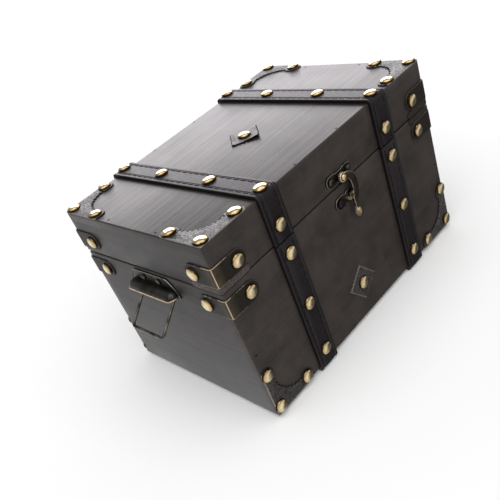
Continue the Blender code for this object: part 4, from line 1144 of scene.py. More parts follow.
def folded_tab(tall, thickness):
    """A strip folded at the origin, with one leg along +x and the other along +y."""
    half = tall / 2
    bend = (TAB_BEND + thickness / 2) * 45 * DEG
    leg = TAB_NAIL_REACH + TAB_HEIGHT / 2 - half - TAB_BEND + bend
    clear_selection()
    bpy.ops.mesh.primitive_grid_add(x_subdivisions=TAB_COLUMNS, y_subdivisions=TAB_ROWS, size=1)
    tab = with_slots(bpy.context.object)
    for vert in tab.data.vertices:
        run = vert.co.x * 2 * (leg + half)
        vert.co = (run, vert.co.y * 2 * half * end_height(abs(run) - leg, half), 0)
    thicken(tab, thickness, 1)
    face_outwards(tab)
    top = max(vert.co.z for vert in tab.data.vertices)
    round_edges(tab, lambda e: all(v.co.z > top - TOLERANCE for v in e.verts)
                and any(abs(f.normal.z) < STEEP for f in e.link_faces), TAB_EDGE_ROUND, slot=EDGE)
    mark_faces(tab, EDGE, lambda face: (face.center.z > thickness * TAB_FACE_SHARE
                                        and abs(face.center.x) < FOLD_HALF))
    rub = tab.data.attributes.new("rub", "FLOAT", "POINT")
    for index, vert in enumerate(tab.data.vertices):
        rub.data[index].value = max(0.0, 1 - abs(vert.co.x) / (leg + half))
    for vert in tab.data.vertices:
        run, height, out = vert.co
        x, y = folded_spot(run, out, bend)
        vert.co = (x + TAB_BEND, y + TAB_BEND, height)
    face_outwards(tab)
    return tab


tab_pattern = folded_tab(TAB_HEIGHT, TAB_THICKNESS)
print("tab pattern:", len(tab_pattern.data.polygons), "faces")

# %% [markdown]
# Between some tabs and the seam their lining shows as a hem. It is a lower and thinner strip made by the same
# function. One lining is pale and two are brown, and the other tabs hide theirs.

# %% Hems beside the seam
HEM_HEIGHT = 4.3 * MM
HEM_THICKNESS = 0.7 * MM
HEM_GAP = 0.45 * MM
HEM_OFFSET = HEM_GAP + HEM_HEIGHT / 2
HEMS = (("lid", "left", -1, HEM_OFFSET, tab_hem), ("lid", "right", 1, HEM_OFFSET, hem_brown),
        ("body", "right", 1, -HEM_OFFSET, hem_brown))

hem_pattern = folded_tab(HEM_HEIGHT, HEM_THICKNESS)
for part, side, sign, offset, lining in HEMS:
    place = moved(sign * HALF_WIDTH, -HALF_DEPTH, SEAM + offset) @ turned((sign + 1) * 45, "Z")
    name = "tab_hem_" + part + "_front_" + side
    finish_piece(copy_to(hem_pattern, place), name, part, [lining])
discard(hem_pattern)
print("hems made:", len(HEMS))

# %% [markdown]
# A copy of the tab stands at every corner, above and below the seam, with a nail in each leg. The front left
# corner has been handled most, so the stored wear is scaled from corner to corner.

# %% Tabs at the corners
LID_TAB_RISE = 11.8 * MM
BODY_TAB_DROP = 11.2 * MM
CORNERS = (("front_left", -1, -1, 1.0), ("front_right", 1, -1, 0.3), ("back_right", 1, 1, 0.55),
           ("back_left", -1, 1, 0.45))

for quarter, (corner, x_sign, y_sign, wear) in enumerate(CORNERS):
    for part, height in (("lid", SEAM + LID_TAB_RISE), ("body", SEAM - BODY_TAB_DROP)):
        place = moved(x_sign * HALF_WIDTH, y_sign * HALF_DEPTH, height) @ turned(90 * quarter, "Z")
        tab = copy_to(tab_pattern, place)
        for rub in tab.data.attributes["rub"].data:
            rub.value *= wear
        finish_piece(tab, "tab_" + part + "_" + corner, part, [tab_leather, tab_edge],
                     [part + "_tab_" + corner])
        spots = [place @ moved(TAB_NAIL_REACH, -TAB_THICKNESS, 0) @ turned(90, "X"),
                 place @ moved(-TAB_THICKNESS, TAB_NAIL_REACH, 0) @ turned(-90, "Y")]
        nails_at("nails_tab_" + part + "_" + corner, part, spots)
discard(tab_pattern)
discard(nail_pattern)
print("tabs made: 8, with 16 nails")

# %% [markdown]
# ## Turned metal
# Screws, rivets, posts and knuckles are turned shapes. A circle is the first ring, and each next ring is
# extruded from it and scaled, as one would do by hand in the side view. The last ring is kept a hair wide,
# so that the crown closes in small faces.

# %% Turning a shape ring by ring
POLE = 0.03 * MM
HEAD_SHARES = ((1.0, 0.0), (1.0, 0.25), (0.94, 0.46), (0.8, 0.68), (0.58, 0.86), (0.3, 0.97))


def turn_rings(profile, sides=24):
    """A turned piece about z from (radius, height) rings, closed at both ends."""
    radius, height = profile[0]
    clear_selection()
    bpy.ops.mesh.primitive_circle_add(vertices=sides, radius=radius, fill_type="NGON",
                                      location=(0, 0, height))
    piece = with_slots(freeze(bpy.context.object))
    pick_all(piece)
    for next_radius, next_height in profile[1:]:
        extrude(0, 0, next_height - height)
        bpy.ops.transform.resize(value=(next_radius / radius, next_radius / radius, 1))
        radius, height = next_radius, next_height
    face_outwards(piece)
    return piece


def head_rings(radius, height, seat=0.0):
    """Rings of a low domed head, from its seat to its crown."""
    return [(radius * across, seat + height * up) for across, up in HEAD_SHARES] + [(POLE, seat + height)]


def soft_bar(radius, start, end, soft, drop, sides=20):
    """A turned bar along x, narrower by a drop at its softened ends."""
    bar = turn_rings([(radius - drop, start), (radius, start + soft), (radius, end - soft),
                      (radius - drop, end)], sides)
    bar.data.transform(turned(90, "Y"))
    return bar


print("a head has", len(head_rings(1, 1)), "rings")

# %% [markdown]
# A slotted round-head screw holds every plate. The slot is cut with a flat block, and each copy is turned to
# another angle, because no two screws stop alike. The screw takes the place of its plain solid exactly.

# %% Slotted screws
SCREW_RADIUS = 2.1 * MM
SCREW_HEIGHT = 1.0 * MM
SHANK_RADIUS = 0.85 * MM
SHANK_LENGTH = 5.0 * MM
SHANK_TIP_SHARE = 0.3
SLOT_WIDTH = 0.55 * MM
SLOT_DEPTH = 0.45 * MM


def make_screw():
    """A slotted round-head screw whose crown is at the origin."""
    shank = [(SHANK_RADIUS * SHANK_TIP_SHARE, -SHANK_LENGTH), (SHANK_RADIUS, -SHANK_LENGTH + SHANK_RADIUS),
             (SHANK_RADIUS, 0)]
    screw = turn_rings(shank + head_rings(SCREW_RADIUS, SCREW_HEIGHT), sides=20)
    depth = SCREW_HEIGHT - SLOT_DEPTH + SCREW_HEIGHT / 2
    cutter = new_cube((0, 0, depth), (SCREW_RADIUS * 3, SLOT_WIDTH, SCREW_HEIGHT))
    combine(screw, cutter, "DIFFERENCE")
    screw.data.transform(moved(0, 0, -SCREW_HEIGHT))
    return screw


def spot_of(node, face):
    """The frame on a face at the middle of a plain solid, level with its outermost side."""
    low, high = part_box(node)
    centre = (low + high) / 2
    across, out = {"front": (centre.x, -HALF_DEPTH - low.y), "back": (-centre.x, high.y - HALF_DEPTH),
                   "left": (-centre.y, -HALF_WIDTH - low.x), "right": (centre.y, high.x - HALF_WIDTH)}[face]
    return on_face(face, across, centre.z, out)


def screw_at(node, face, body, angle):
    """A screw in the place of a plain one, with its slot turned."""
    screw = copy_to(screw_pattern, spot_of(node, face) @ turned(angle, "Z"))
    name = node.replace("latch_", "").replace("handle_", "") + "_head"
    return finish_piece(screw, name, body, [screw_bronze], [node], METAL_SMOOTH)


screw_pattern = make_screw()
print("screw:", len(screw_pattern.data.polygons), "faces")

# %% [markdown]
# ## The latch
# Two small stamped plates have a lobe at each end. Each has a raised rim all round, made by insetting the
# face twice and sinking the middle; the rim's edge is bevelled and takes the rubbed, bright finish.

# %% Stamped plates
SHEET = 0.9 * MM
RIM_WIDTH = 0.55 * MM
RIM_SLOPE = 0.3 * MM
RIM_DROP = 0.28 * MM
RIM_ROUND = 0.28 * MM
UPRIGHT = 0.1
NECK_SHARE = 0.6
LOBE_BEND_SHARE = 0.6
WAIST_BEND_SHARE = 0.3


def on_upper_rim(height):
    """A test for the edges above a height that border an upright face."""
    return lambda edge: (middle(edge).z > height
                         and any(abs(face.normal.z) < UPRIGHT for face in edge.link_faces))


def stamped_plate(points):
    """A plate with a raised rim, lying on z = 0."""
    top = SHEET + FIT_GAP
    plate = outline_face(points)
    pick_all(plate)
    extrude(0, 0, top)
    face_outwards(plate)
    pick(plate, "FACE", lambda face: middle(face).z > top - TOLERANCE)
    bpy.ops.mesh.inset(thickness=RIM_WIDTH, depth=0)
    bpy.ops.mesh.inset(thickness=RIM_SLOPE, depth=-RIM_DROP)
    round_edges(plate, on_upper_rim(top - TOLERANCE), RIM_ROUND, slot=EDGE)
    return plate


def lobed_outline(reach, lobe, waist):
    """The outline of a plate with a round lobe at each end and a narrower waist."""
    neck = reach - 2 * lobe
    centre = neck * NECK_SHARE
    outer = lobe * LOBE_BEND_SHARE
    inner = lobe * WAIST_BEND_SHARE
    lower = [(-reach, -lobe, lobe), (-neck, -lobe, outer), (-centre, -waist, inner), (centre, -waist, inner),
             (neck, -lobe, outer), (reach, -lobe, lobe)]
    return rounded(lower + [(x, -y, bend) for x, y, bend in reversed(lower)], steps=7)


print("raised rim %.2f mm wide on a sheet of %.1f mm" % (RIM_WIDTH / MM, SHEET / MM))

# %% [markdown]
# The upper plate goes on the lid and carries the hook's rivet. The lower one is the keeper, and a domed post
# stands on it a little to the right. Their heights come from the solids' boxes.

# %% Latch plate, keeper and post
LATCH_ACROSS = 3.4 * MM
LATCH_SHAPE = (13.0 * MM, 4.0 * MM, 3.2 * MM)
KEEPER_SHAPE = (10.4 * MM, 4.5 * MM, 3.4 * MM)
POST_ACROSS = 1.1 * MM
POST_RADIUS = 1.2 * MM
LATCH_SCREW_TURNS = (("left", 35), ("right", -20))
KEEPER_SCREW_TURN = -60
POST_CROWN = ((1.0, 0.6 * MM), (0.93, 0.32 * MM), (0.7, 0.1 * MM), (0.35, 0.02 * MM))

latch_low, latch_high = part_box("latch_plate")
keeper_low, keeper_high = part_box("latch_keeper")
LATCH_UP = (latch_low.z + latch_high.z) / 2
KEEPER_UP = (keeper_low.z + keeper_high.z) / 2
POST_TOP = -HALF_DEPTH - keeper_low.y

plate = stamped_plate(lobed_outline(*LATCH_SHAPE))
plate.data.transform(on_face("front", LATCH_ACROSS, LATCH_UP))
finish_metal(plate, "latch_plate_stamped", "lid", "latch_plate")
post_rings = [(POST_RADIUS * share, POST_TOP - down) for share, down in POST_CROWN]
post = turn_rings([(POST_RADIUS, SHEET / 2), *post_rings, (POLE, POST_TOP)], sides=20)
post.data.transform(moved(POST_ACROSS, 0, 0))
mark_faces(post, RUBBED_AND_HIGHLIGHT, lambda face: True)
keeper = join_pieces([stamped_plate(lobed_outline(*KEEPER_SHAPE)), post])
keeper.data.transform(on_face("front", LATCH_ACROSS, KEEPER_UP))
finish_metal(keeper, "keeper_with_post", "body", "latch_keeper")
for side, angle in LATCH_SCREW_TURNS:
    screw_at("latch_plate_screw_" + side, "front", "lid", angle)
    screw_at("latch_keeper_screw_" + side, "front", "body", angle + KEEPER_SCREW_TURN)
print("latch plate up %.1f, keeper up %.1f mm" % (LATCH_UP / MM, KEEPER_UP / MM))

# %% [markdown]
# The hook turns on a rivet. It curves out of its boss to the right, down past the post, and ends in a thin
# tail with a fat bead. Its outline follows a smooth line through a few stations, each with half its width.
# The stations are shares of the distance from the pivot to the post, so the claw always meets its post.

# %% The hook's outline
PIVOT_DROP = 1.0 * MM
PIVOT_UP = LATCH_UP - PIVOT_DROP
HOOK_REACH = math.hypot(POST_ACROSS, PIVOT_UP - KEEPER_UP)
ARM_SHARES = ((0.00, 0.00, 0.150), (0.27, 0.05, 0.150), (0.46, 0.27, 0.170), (0.52, 0.56, 0.185),
              (0.50, 0.80, 0.175), (0.42, 1.04, 0.200), (0.35, 1.29, 0.115), (0.335, 1.56, 0.085),
              (0.33, 1.78, 0.085))


def smooth_line(stations, steps):
    """Points on a smooth line through the stations."""
    line = []
    for index in range(len(stations) - 1):
        before, start, end = stations[max(index - 1, 0)], stations[index], stations[index + 1]
        after = stations[min(index + 2, len(stations) - 1)]
        for step in range(steps):
            share = step / steps
            line.append((2 * start + (end - before) * share
                         + (2 * before - 5 * start + 4 * end - after) * share ** 2
                         + (3 * start - before - 3 * end + after) * share ** 3) / 2)
    return line + [stations[-1]]


def arm_outline():
    """The arm's two sides at half its width from its line."""
    stations = [Vector((across, -down, half)) * HOOK_REACH for across, down, half in ARM_SHARES]
    line = smooth_line(stations, steps=6)
    left, right = [], []
    for index, point in enumerate(line):
        along = line[min(index + 1, len(line) - 1)] - line[max(index - 1, 0)]
        aside = Vector((-along.y, along.x)).normalized() * point.z
        left.append(point.xy + aside)
        right.append(point.xy - aside)
    return left + right[::-1]


print("hook reach %.2f mm, outline of %d points" % (HOOK_REACH / MM, len(arm_outline())))

# %% [markdown]
# The flat arm is extruded and its upper edge rounded. A turned boss and a flattened sphere for the bead are
# united with it, and then two holes are cut: one for the rivet, and one that makes the claw fit its post.
# Rubbing has turned the boss, the claw and the bead golden, while the arm between them stays dark.

# %% The swing hook
HOOK_OUT = 2.8 * MM
HOOK_THICKNESS = 1.8 * MM
HOOK_EDGE = 0.4 * MM
BOSS_RADIUS = 3.4 * MM
BOSS_RINGS = ((1, 0), (1, 1.2), (0.95, 1.6), (0.86, 1.8), (0.80, 1.7), (0.75, 1.0), (0.3, 0.9))
BEAD_HALVES = (2.45 * MM, 3.5 * MM, 2.1 * MM)
RIVET_HOLE = 1.38 * MM
POST_HOLE = 1.5 * MM
CLAW_SLACK = 10
DRILL_FROM = -1 * MM
DRILL_TO = 4 * MM
BOSS_BRIGHT = (2.4 * MM, 3.5 * MM)
CLAW_BRIGHT = (-18.5 * MM, -13.5 * MM)
CLAW_BRIGHT_ACROSS = 6.2 * MM
BEAD_BRIGHT_RISE = 1.0 * MM


def make_hook():
    """The hook about its pivot, flat on z = 0."""
    hook = outline_face(arm_outline())
    pick_all(hook)
    extrude(0, 0, HOOK_THICKNESS)
    face_outwards(hook)
    round_edges(hook, on_upper_rim(HOOK_THICKNESS * UPPER_SHARE), HOOK_EDGE, slot=EDGE, clamp=True)
    boss = turn_rings([(BOSS_RADIUS * share, height * MM) for share, height in BOSS_RINGS], sides=36)
    combine(hook, boss, "UNION")
    bead = new_sphere(segments=24, rings=14, turn=(90 * DEG, 0, 0))
    bead.data.transform(Matrix.Diagonal((*BEAD_HALVES, 1)))
    across, down, half = ARM_SHARES[-1]
    bead.data.transform(moved(across * HOOK_REACH, -down * HOOK_REACH, HOOK_THICKNESS / 2))
    combine(hook, bead, "UNION")
    post_spot = turned(CLAW_SLACK, "Z") @ moved(POST_ACROSS, KEEPER_UP - PIVOT_UP, 0)
    for radius, spot in ((RIVET_HOLE, Matrix.Identity(4)), (POST_HOLE, post_spot)):
        drill = turn_rings([(radius, DRILL_FROM), (radius, DRILL_TO)])
        drill.data.transform(spot)
        combine(hook, drill, "DIFFERENCE")
    return hook


def is_rubbed(face):
    """Whether a face of the hook is on its boss, its claw or its bead."""
    bead_top = BEAD_BRIGHT_RISE - ARM_SHARES[-2][1] * HOOK_REACH
    boss = BOSS_BRIGHT[0] < face.center.xy.length < BOSS_BRIGHT[1]
    claw = CLAW_BRIGHT[0] < face.center.y < CLAW_BRIGHT[1] and face.center.x < CLAW_BRIGHT_ACROSS
    return boss or claw or face.center.y < bead_top


hook = make_hook()
mark_faces(hook, RUBBED_AND_HIGHLIGHT, is_rubbed)
hook.data.transform(on_face("front", LATCH_ACROSS, PIVOT_UP, HOOK_OUT))
finish_metal(hook, "swing_hook", "hook", "latch_hook", hook_bronze)
print("hook:", len(hook.data.polygons), "faces")

# %% [markdown]
# The rivet stands in the latch plate. Its collar carries the hook's boss and its domed head keeps the hook
# on. Only the head is seen, and it has been rubbed as bright as the boss round it.

# %% The rivet
RIVET_RINGS = ((1.2, 0.2), (2.4, 0.9), (2.4, 2.45), (1.25, 2.45), (1.25, 4.3))
RIVET_HEAD = (2.05 * MM, 1.4 * MM, 4.4 * MM)
RIVET_BRIGHT_ABOVE = 4.45 * MM

rivet = turn_rings([(radius * MM, height * MM) for radius, height in RIVET_RINGS] + head_rings(*RIVET_HEAD))
mark_faces(rivet, RUBBED_AND_HIGHLIGHT, lambda face: face.center.z > RIVET_BRIGHT_ABOVE)
rivet.data.transform(on_face("front", LATCH_ACROSS, PIVOT_UP))
finish_metal(rivet, "pivot_rivet", "lid", "latch_rivet")
print("rivet:", len(rivet.data.polygons), "faces")

# %% [markdown]
# ## The handles
# On each end a stamped plate has a cupped hood, like a small drawer pull, over the bar of a wire bail. The
# hood begins as a sphere on its side: it is halved, its two ends are drawn apart, and Solidify gives it the
# sheet's thickness. Its lower lip flares out, and a band along it takes the rubbed gold as a painted
# highlight.

# %% The cupped hood
BAIL_OUT = 2.65 * MM
HOOD_UP = 4.4 * MM
HOOD_REACH = 5.6 * MM
HOOD_HALF = 24.2 * MM
HOOD_END = 4.6 * MM
HOOD_MIDDLE = 0.01
LIP_HEIGHT = 1.1 * MM
LIP_FLARE = 0.45 * MM
LIP_SHARES = (1, 0.6, 0.3)
LIP_HIGHLIGHT_SHARE = 0.62
LIP_ROUND = 0.25 * MM
LIP_BAND = 0.02 * MM
LIP_POWER = 1.5
FACES_DOWN = -0.9
FACES_ASLANT = -0.5


def hood_spot(x, y, z):
    """Where a point of the unit sphere goes: its ends drawn apart, its middle kept."""
    straight = HOOD_HALF - HOOD_END
    along = math.copysign(straight + abs(x) * HOOD_END, x) if abs(x) > HOOD_MIDDLE else 0.0
    return (along, y * HOOD_UP, z * HOOD_REACH)


def is_lip(edge):
    """Whether an edge borders the sheet's cut edge at the lip."""
    return (middle(edge).y < LIP_BAND and any(face.normal.y < FACES_DOWN for face in edge.link_faces)
            and any(face.normal.y > FACES_ASLANT for face in edge.link_faces))


def make_hood():
    """The hood over the bail's bar, open below."""
    hood = with_slots(new_sphere(segments=40, rings=24, turn=(0, 90 * DEG, 0)))
    for vert in hood.data.vertices:
        vert.co = hood_spot(*vert.co)
    slice_across(hood, (0, 0, 0), (0, 1, 0), cut_off=True)
    slice_across(hood, (0, 0, SHEET / 2 - BAIL_OUT), (0, 0, 1), cut_off=True)
    for share in LIP_SHARES:
        slice_across(hood, (0, LIP_HEIGHT * share, 0), (0, 1, 0))
    face_outwards(hood)
    for vert in hood.data.vertices:
        vert.co.z += LIP_FLARE * max(0.0, 1 - vert.co.y / LIP_HEIGHT) ** LIP_POWER
    thicken(hood, SHEET, -1)
    # Painted highlight: the lowest band of the lip takes the rubbed gold.
    mark_faces(hood, RUBBED_AND_HIGHLIGHT, lambda face: face.center.y < LIP_HEIGHT * LIP_HIGHLIGHT_SHARE)
    round_edges(hood, is_lip, LIP_ROUND, clamp=True)
    hood.data.transform(moved(0, 0, BAIL_OUT))
    return hood


print("hood %.1f mm wide" % (2 * HOOD_HALF / MM))

# %% [markdown]
# The plate behind the hood is a low arch. A tongue rolled from its lower edge carries the bail's bar, and
# plate, hood and tongue are joined, because on the chest they are one pressing. Two screws hold it.

# %% Handle plates
HANDLE_FORWARD = 0.9 * MM
HANDLE_AXIS_UP = 91.2 * MM
PLATE_ABOVE = 12.4 * MM
PLATE_BELOW = 2.4 * MM
PLATE_MARGIN = 0.6 * MM
ARCH_SHARES = ((0.74, 1.00, 0.45), (1.00, 0.38, 0.75), (1.00, 0.00, 0.08))
HANDLE_SCREW_TURNS = (("a", 25), ("b", -40))
TONGUE_RADIUS = 2.0 * MM
TONGUE_HALF = 8.2 * MM
TONGUE_SOFT = 0.4 * MM
TONGUE_DROP = 0.4 * MM


def arch_outline():
    """The plate's outline: a low arch, widest where its hood ends."""
    height = PLATE_ABOVE + PLATE_BELOW
    reach = HOOD_HALF + PLATE_MARGIN
    half = [(across * reach, up * height - PLATE_BELOW, bend * height) for across, up, bend in ARCH_SHARES]
    return rounded(half + [(-x, y, bend) for x, y, bend in reversed(half)], steps=8)


for side, sign in SIDES:
    tongue = soft_bar(TONGUE_RADIUS, -TONGUE_HALF, TONGUE_HALF, TONGUE_SOFT, TONGUE_DROP)
    tongue.data.transform(moved(0, 0, BAIL_OUT))
    handle = join_pieces([stamped_plate(arch_outline()), make_hood(), tongue])
    handle.data.transform(on_face(side, -sign * HANDLE_FORWARD, HANDLE_AXIS_UP))
    finish_metal(handle, "handle_hood_" + side, "body", "handle_plate_" + side)
    for letter, angle in HANDLE_SCREW_TURNS:
        screw_at("handle_screw_" + side + "_" + letter, side, "body", angle)
print("handle plates made: 2")

# %% [markdown]
# A bail is one loop of round wire. A poly curve with a round bevel makes it: the corners are rounded by the
# same arcs as before, the curve is turned into a mesh, and the loop is swung up to where it rests.

# %% Bails
WIRE_RADIUS = 1.05 * MM
WIRE_ROUNDNESS = 4
WIRE_SMOOTH = 60
BAIL_HALF = 16.3 * MM
BAIL_DROP = 26.5 * MM
BAIL_ROUND = 2.6 * MM
BAIL_CORNERS = ((-BAIL_HALF, 0), (BAIL_HALF, 0), (BAIL_HALF, -BAIL_DROP), (-BAIL_HALF, -BAIL_DROP))
BAIL_SLID = 5.5 * MM
BAIL_RAISED = 50


def wire_loop(points, radius):
    """A closed loop of round wire through points."""
    curve = bpy.data.curves.new("wire", "CURVE")
    curve.dimensions = "3D"
    curve.bevel_depth = radius
    curve.bevel_resolution = WIRE_ROUNDNESS
    spline = curve.splines.new("POLY")
    spline.points.add(len(points) - 1)
    for point, place in zip(spline.points, points):
        point.co = (place[0], place[1], 0, 1)
    spline.use_cyclic_u = True
    loop = bpy.data.objects.new("wire", curve)
    bpy.context.scene.collection.objects.link(loop)
    take(loop)
    bpy.ops.object.convert(target="MESH")
    return bpy.context.object


for side, sign in SIDES:
    slid = -sign * BAIL_SLID
    corners = [(x + slid, y, BAIL_ROUND) for x, y in BAIL_CORNERS]
    bail = wire_loop(rounded(corners, steps=8), WIRE_RADIUS)
    face_outwards(bail)
    axis = on_face(side, -sign * HANDLE_FORWARD, HANDLE_AXIS_UP, BAIL_OUT)
    bail.data.transform(axis @ turned(-BAIL_RAISED, "X"))
    finish_piece(bail, "bail_wire_" + side, "bail_" + side, [wire_bronze], ["bail_" + side],
                 WIRE_SMOOTH)
print("bails made: 2")

# %% [markdown]
# ## The hinges
# Two butt hinges carry the lid. A leaf is a stamped plate, and its knuckles are turned bars with softened
# ends; the body's leaf has the two outer knuckles and the lid's leaf has the middle one. A short web leads
# from the leaf to each knuckle, and two screws hold the leaf.

# %% A hinge leaf
HINGE_HALF = 15.0 * MM
LEAF_HEIGHT = 14.0 * MM
LEAF_THICKNESS = 1.0 * MM
LEAF_CORNER = 3 * MM
LEAF_FACE = FIT_GAP + LEAF_THICKNESS
KNUCKLE_RADIUS = 2.4 * MM
KNUCKLE_SOFT = 0.3 * MM
KNUCKLE_RELIEF = 0.45 * MM
AXIS_OUT = FIT_GAP + KNUCKLE_RADIUS
WEB_INSET = 0.1 * MM
WEB_CENTRE_SHARE = 0.6
WEB_LENGTH_SHARE = 1.1
WEB_ROUND = 0.15 * MM
LEAF_SCREWS = ((-9.3 * MM, -43.7), (9.3 * MM, 123.7))
LEAF_SCREW_UP = 8.7 * MM
LEAF_SCREW_PROUD = 0.7 * MM


def knuckle_with_web(start, end, direction, relief):
    """A knuckle along the hinge's axis, and the web that leads to it."""
    knuckle = soft_bar(KNUCKLE_RADIUS, start, end, KNUCKLE_SOFT, KNUCKLE_SOFT, sides=24)
    knuckle.data.transform(moved(0, 0, AXIS_OUT))
    centre = ((start + end) / 2, relief * direction * WEB_CENTRE_SHARE, FIT_GAP + LEAF_THICKNESS / 2)
    web = new_cube(centre, (end - start - WEB_INSET, relief * WEB_LENGTH_SHARE, LEAF_THICKNESS))
    round_edges(web, lambda edge: middle(edge).z > FIT_GAP + LEAF_THICKNESS * UPPER_SHARE, WEB_ROUND)
    return [knuckle, web]


def hinge_leaf(knuckles, direction):
    """A leaf with its knuckles about the hinge's axis, lying on the wood."""
    relief = KNUCKLE_RADIUS + KNUCKLE_RELIEF
    outline = rounded([(-HINGE_HALF, direction * relief, 0), (HINGE_HALF, direction * relief, 0),
                       (HINGE_HALF, direction * LEAF_HEIGHT, LEAF_CORNER),
                       (-HINGE_HALF, direction * LEAF_HEIGHT, LEAF_CORNER)], steps=6)
    pieces = [cut_sheet(outline, LEAF_FACE)]
    for start, end in knuckles:
        pieces += knuckle_with_web(start, end, direction, relief)
    for across, angle in LEAF_SCREWS:
        spot = moved(across, direction * LEAF_SCREW_UP, LEAF_FACE + LEAF_SCREW_PROUD)
        pieces.append(copy_to(screw_pattern, spot @ turned(angle, "Z")))
    return join_pieces(pieces)


print("hinge axis %.1f mm out of the wood" % (AXIS_OUT / MM))

# %% [markdown]
# Each hinge is set where its pin's solid is. The pin runs through all three knuckles and its ends just show.

# %% Hinges and pins
HALF_SPLIT = 0.15 * MM
THIRD = HINGE_HALF / 3
LOWER_KNUCKLES = ((-HINGE_HALF, -THIRD - HALF_SPLIT), (THIRD + HALF_SPLIT, HINGE_HALF))
UPPER_KNUCKLES = ((-THIRD + HALF_SPLIT, THIRD - HALF_SPLIT),)
PIN_RADIUS = 1.1 * MM
PIN_HALF = HINGE_HALF + 0.5 * MM
PIN_SOFT = 0.3 * MM
PIN_DROP = 0.33 * MM

for side in ("left", "right"):
    low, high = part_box("hinge_pin_" + side)
    place = on_face("back", -(low.x + high.x) / 2, (low.z + high.z) / 2)
    for part, knuckles, direction in (("body", LOWER_KNUCKLES, -1), ("lid", UPPER_KNUCKLES, 1)):
        leaf = hinge_leaf(knuckles, direction)
        leaf.data.transform(place)
        finish_metal(leaf, "hinge_" + part + "_" + side, part, "hinge_" + part + "_leaf_" + side)
    pin = soft_bar(PIN_RADIUS, -PIN_HALF, PIN_HALF, PIN_SOFT, PIN_DROP)
    pin.data.transform(place @ moved(0, 0, AXIS_OUT))
    finish_piece(pin, "pin_" + side, "body", [screw_bronze], ["hinge_pin_" + side],
                 METAL_SMOOTH)
discard(screw_pattern)
print("hinges made: 2")

# %% [markdown]
# A few headless brads hold the boards. They show as dark dots near the edges of the top and the front, so a
# low turned button is enough, standing a tenth of a millimetre out of the lacquer.

# %% Brads
BRAD_RADIUS = 0.80 * MM
BRAD_FOOT = -0.4 * MM
BRAD_RINGS = ((1, 0.03 * MM), (0.7, 0.09 * MM))
BRAD_TOP = 0.11 * MM
TOP_BRADS = ((-26.5, -70), (-26.5, 70), (16, -70), (16, 70), (-107, -28), (-106.5, 23), (107, -25),
             (106.5, 27))
SIDE_BRADS = ((-106.5, 52), (106.5, 55))

brad_rings = [(BRAD_RADIUS * share, height) for share, height in BRAD_RINGS]
brad_pattern = turn_rings([(BRAD_RADIUS, BRAD_FOOT), *brad_rings, (POLE, BRAD_TOP)], sides=12)
lid_brads = [copy_to(brad_pattern, on_top(x * MM, y * MM)) for x, y in TOP_BRADS]
finish_piece(join_pieces(lid_brads), "brads_lid", "lid", [brad_steel])
body_brads = [copy_to(brad_pattern, on_face(face, x * MM, WOOD_BOTTOM + up * MM))
              for face in ("front", "back") for x, up in SIDE_BRADS]
finish_piece(join_pieces(body_brads), "brads_body", "body", [brad_steel])
discard(brad_pattern)
print("brads made:", len(lid_brads) + len(body_brads))

# %% [markdown]
# ## The stage
# The floor is pale and plain. Reflections pass it and see the sky's lower half, which fades from a bright
# horizon and is dimmer towards the right front. That gives the nails a dark side and lets the front fall
# away into shade.

# %% Floor and sky
FLOOR_SIDE = 40.0
SKY_STRENGTH = 0.44
HORIZON_STRENGTH = 1.0
FADE_BETWEEN = (0.04, 0.26)
DIM_FROM = Vector((0.81, -0.30, -0.50)).normalized()
DIM_SHARE = 0.88
DIM_BETWEEN = (0.62, 0.90)
DIM_BELOW = (-0.12, -0.28)

clear_selection()
bpy.ops.mesh.primitive_plane_add(size=FLOOR_SIDE, location=(0, 0, 0))
floor = bpy.context.object
floor.name = "floor"
floor.data.materials.append(plain_finish("pale_floor", (0.86, 0.86, 0.86), 0.8, 0.1))
floor.visible_glossy = False

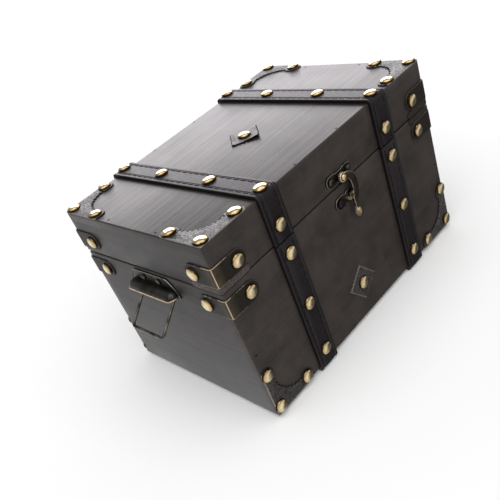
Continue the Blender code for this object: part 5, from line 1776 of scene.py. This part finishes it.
world = bpy.data.worlds.new("pale_sky")
bpy.context.scene.world = world
world.use_nodes = True
sky = Nodes(world.node_tree)
background = sky.nodes["Background"]
sky.feed(background.inputs["Color"], (1.0, 1.0, 1.0, 1))
looking = sky.add("ShaderNodeTexCoord", "Generated", {})
height = sky.add("ShaderNodeSeparateXYZ", "Z", {"Vector": looking})
towards_dim = sky.add("ShaderNodeVectorMath", "Value", {0: looking, 1: DIM_FROM}, operation="DOT_PRODUCT")
dim = sky.spread(towards_dim, *DIM_BETWEEN, 0.0, DIM_SHARE)
dim = sky.maths("MULTIPLY", dim, sky.spread(height, *DIM_BELOW))
fade = sky.spread(height, *FADE_BETWEEN, HORIZON_STRENGTH, SKY_STRENGTH)
sky.feed(background.inputs["Strength"], sky.maths("MULTIPLY", fade, sky.maths("SUBTRACT", 1.0, dim)))
print("sky from", HORIZON_STRENGTH, "at the horizon to", SKY_STRENGTH, "above")

# %% [markdown]
# The lid's grey sheen is a reflection, so a wide soft window stands low behind the chest, where a mirror on
# the lid would show it to the camera. A broad soft light from above keeps the floor pale everywhere and puts
# a highlight on each nail. The lights themselves are hidden from the camera.

# %% Lights
WINDOW_PLACE = (1.02, 1.02, 0.80)
WINDOW_SIZE = (1.9, 1.1)
WINDOW_TARGET = (0, 0, 0.13)
WINDOW_ENERGY = 28
WINDOW_TINT = (1.0, 0.96, 1.0)
OVERHEAD_PLACE = (-0.35, -0.55, 1.6)
OVERHEAD_ENERGY = 2.5
OVERHEAD_SPREAD = 90


def place_light(name, data, place, target):
    """Add a light that looks at a point and isn't seen itself."""
    light = bpy.data.objects.new(name, data)
    bpy.context.scene.collection.objects.link(light)
    light.location = place
    light.rotation_euler = (Vector(target) - Vector(place)).to_track_quat("-Z", "Y").to_euler()
    light.visible_camera = False
    return light


window = bpy.data.lights.new("window", "AREA")
window.shape = "RECTANGLE"
window.size, window.size_y = WINDOW_SIZE
window.energy = WINDOW_ENERGY
window.color = WINDOW_TINT
place_light("window", window, WINDOW_PLACE, WINDOW_TARGET).visible_diffuse = False
overhead = bpy.data.lights.new("overhead", "SUN")
overhead.energy = OVERHEAD_ENERGY
overhead.angle = OVERHEAD_SPREAD * DEG
place_light("overhead", overhead, OVERHEAD_PLACE, (0, 0, 0))
bpy.context.scene.view_settings.view_transform = "Standard"
print("lights:", window.name, overhead.name)
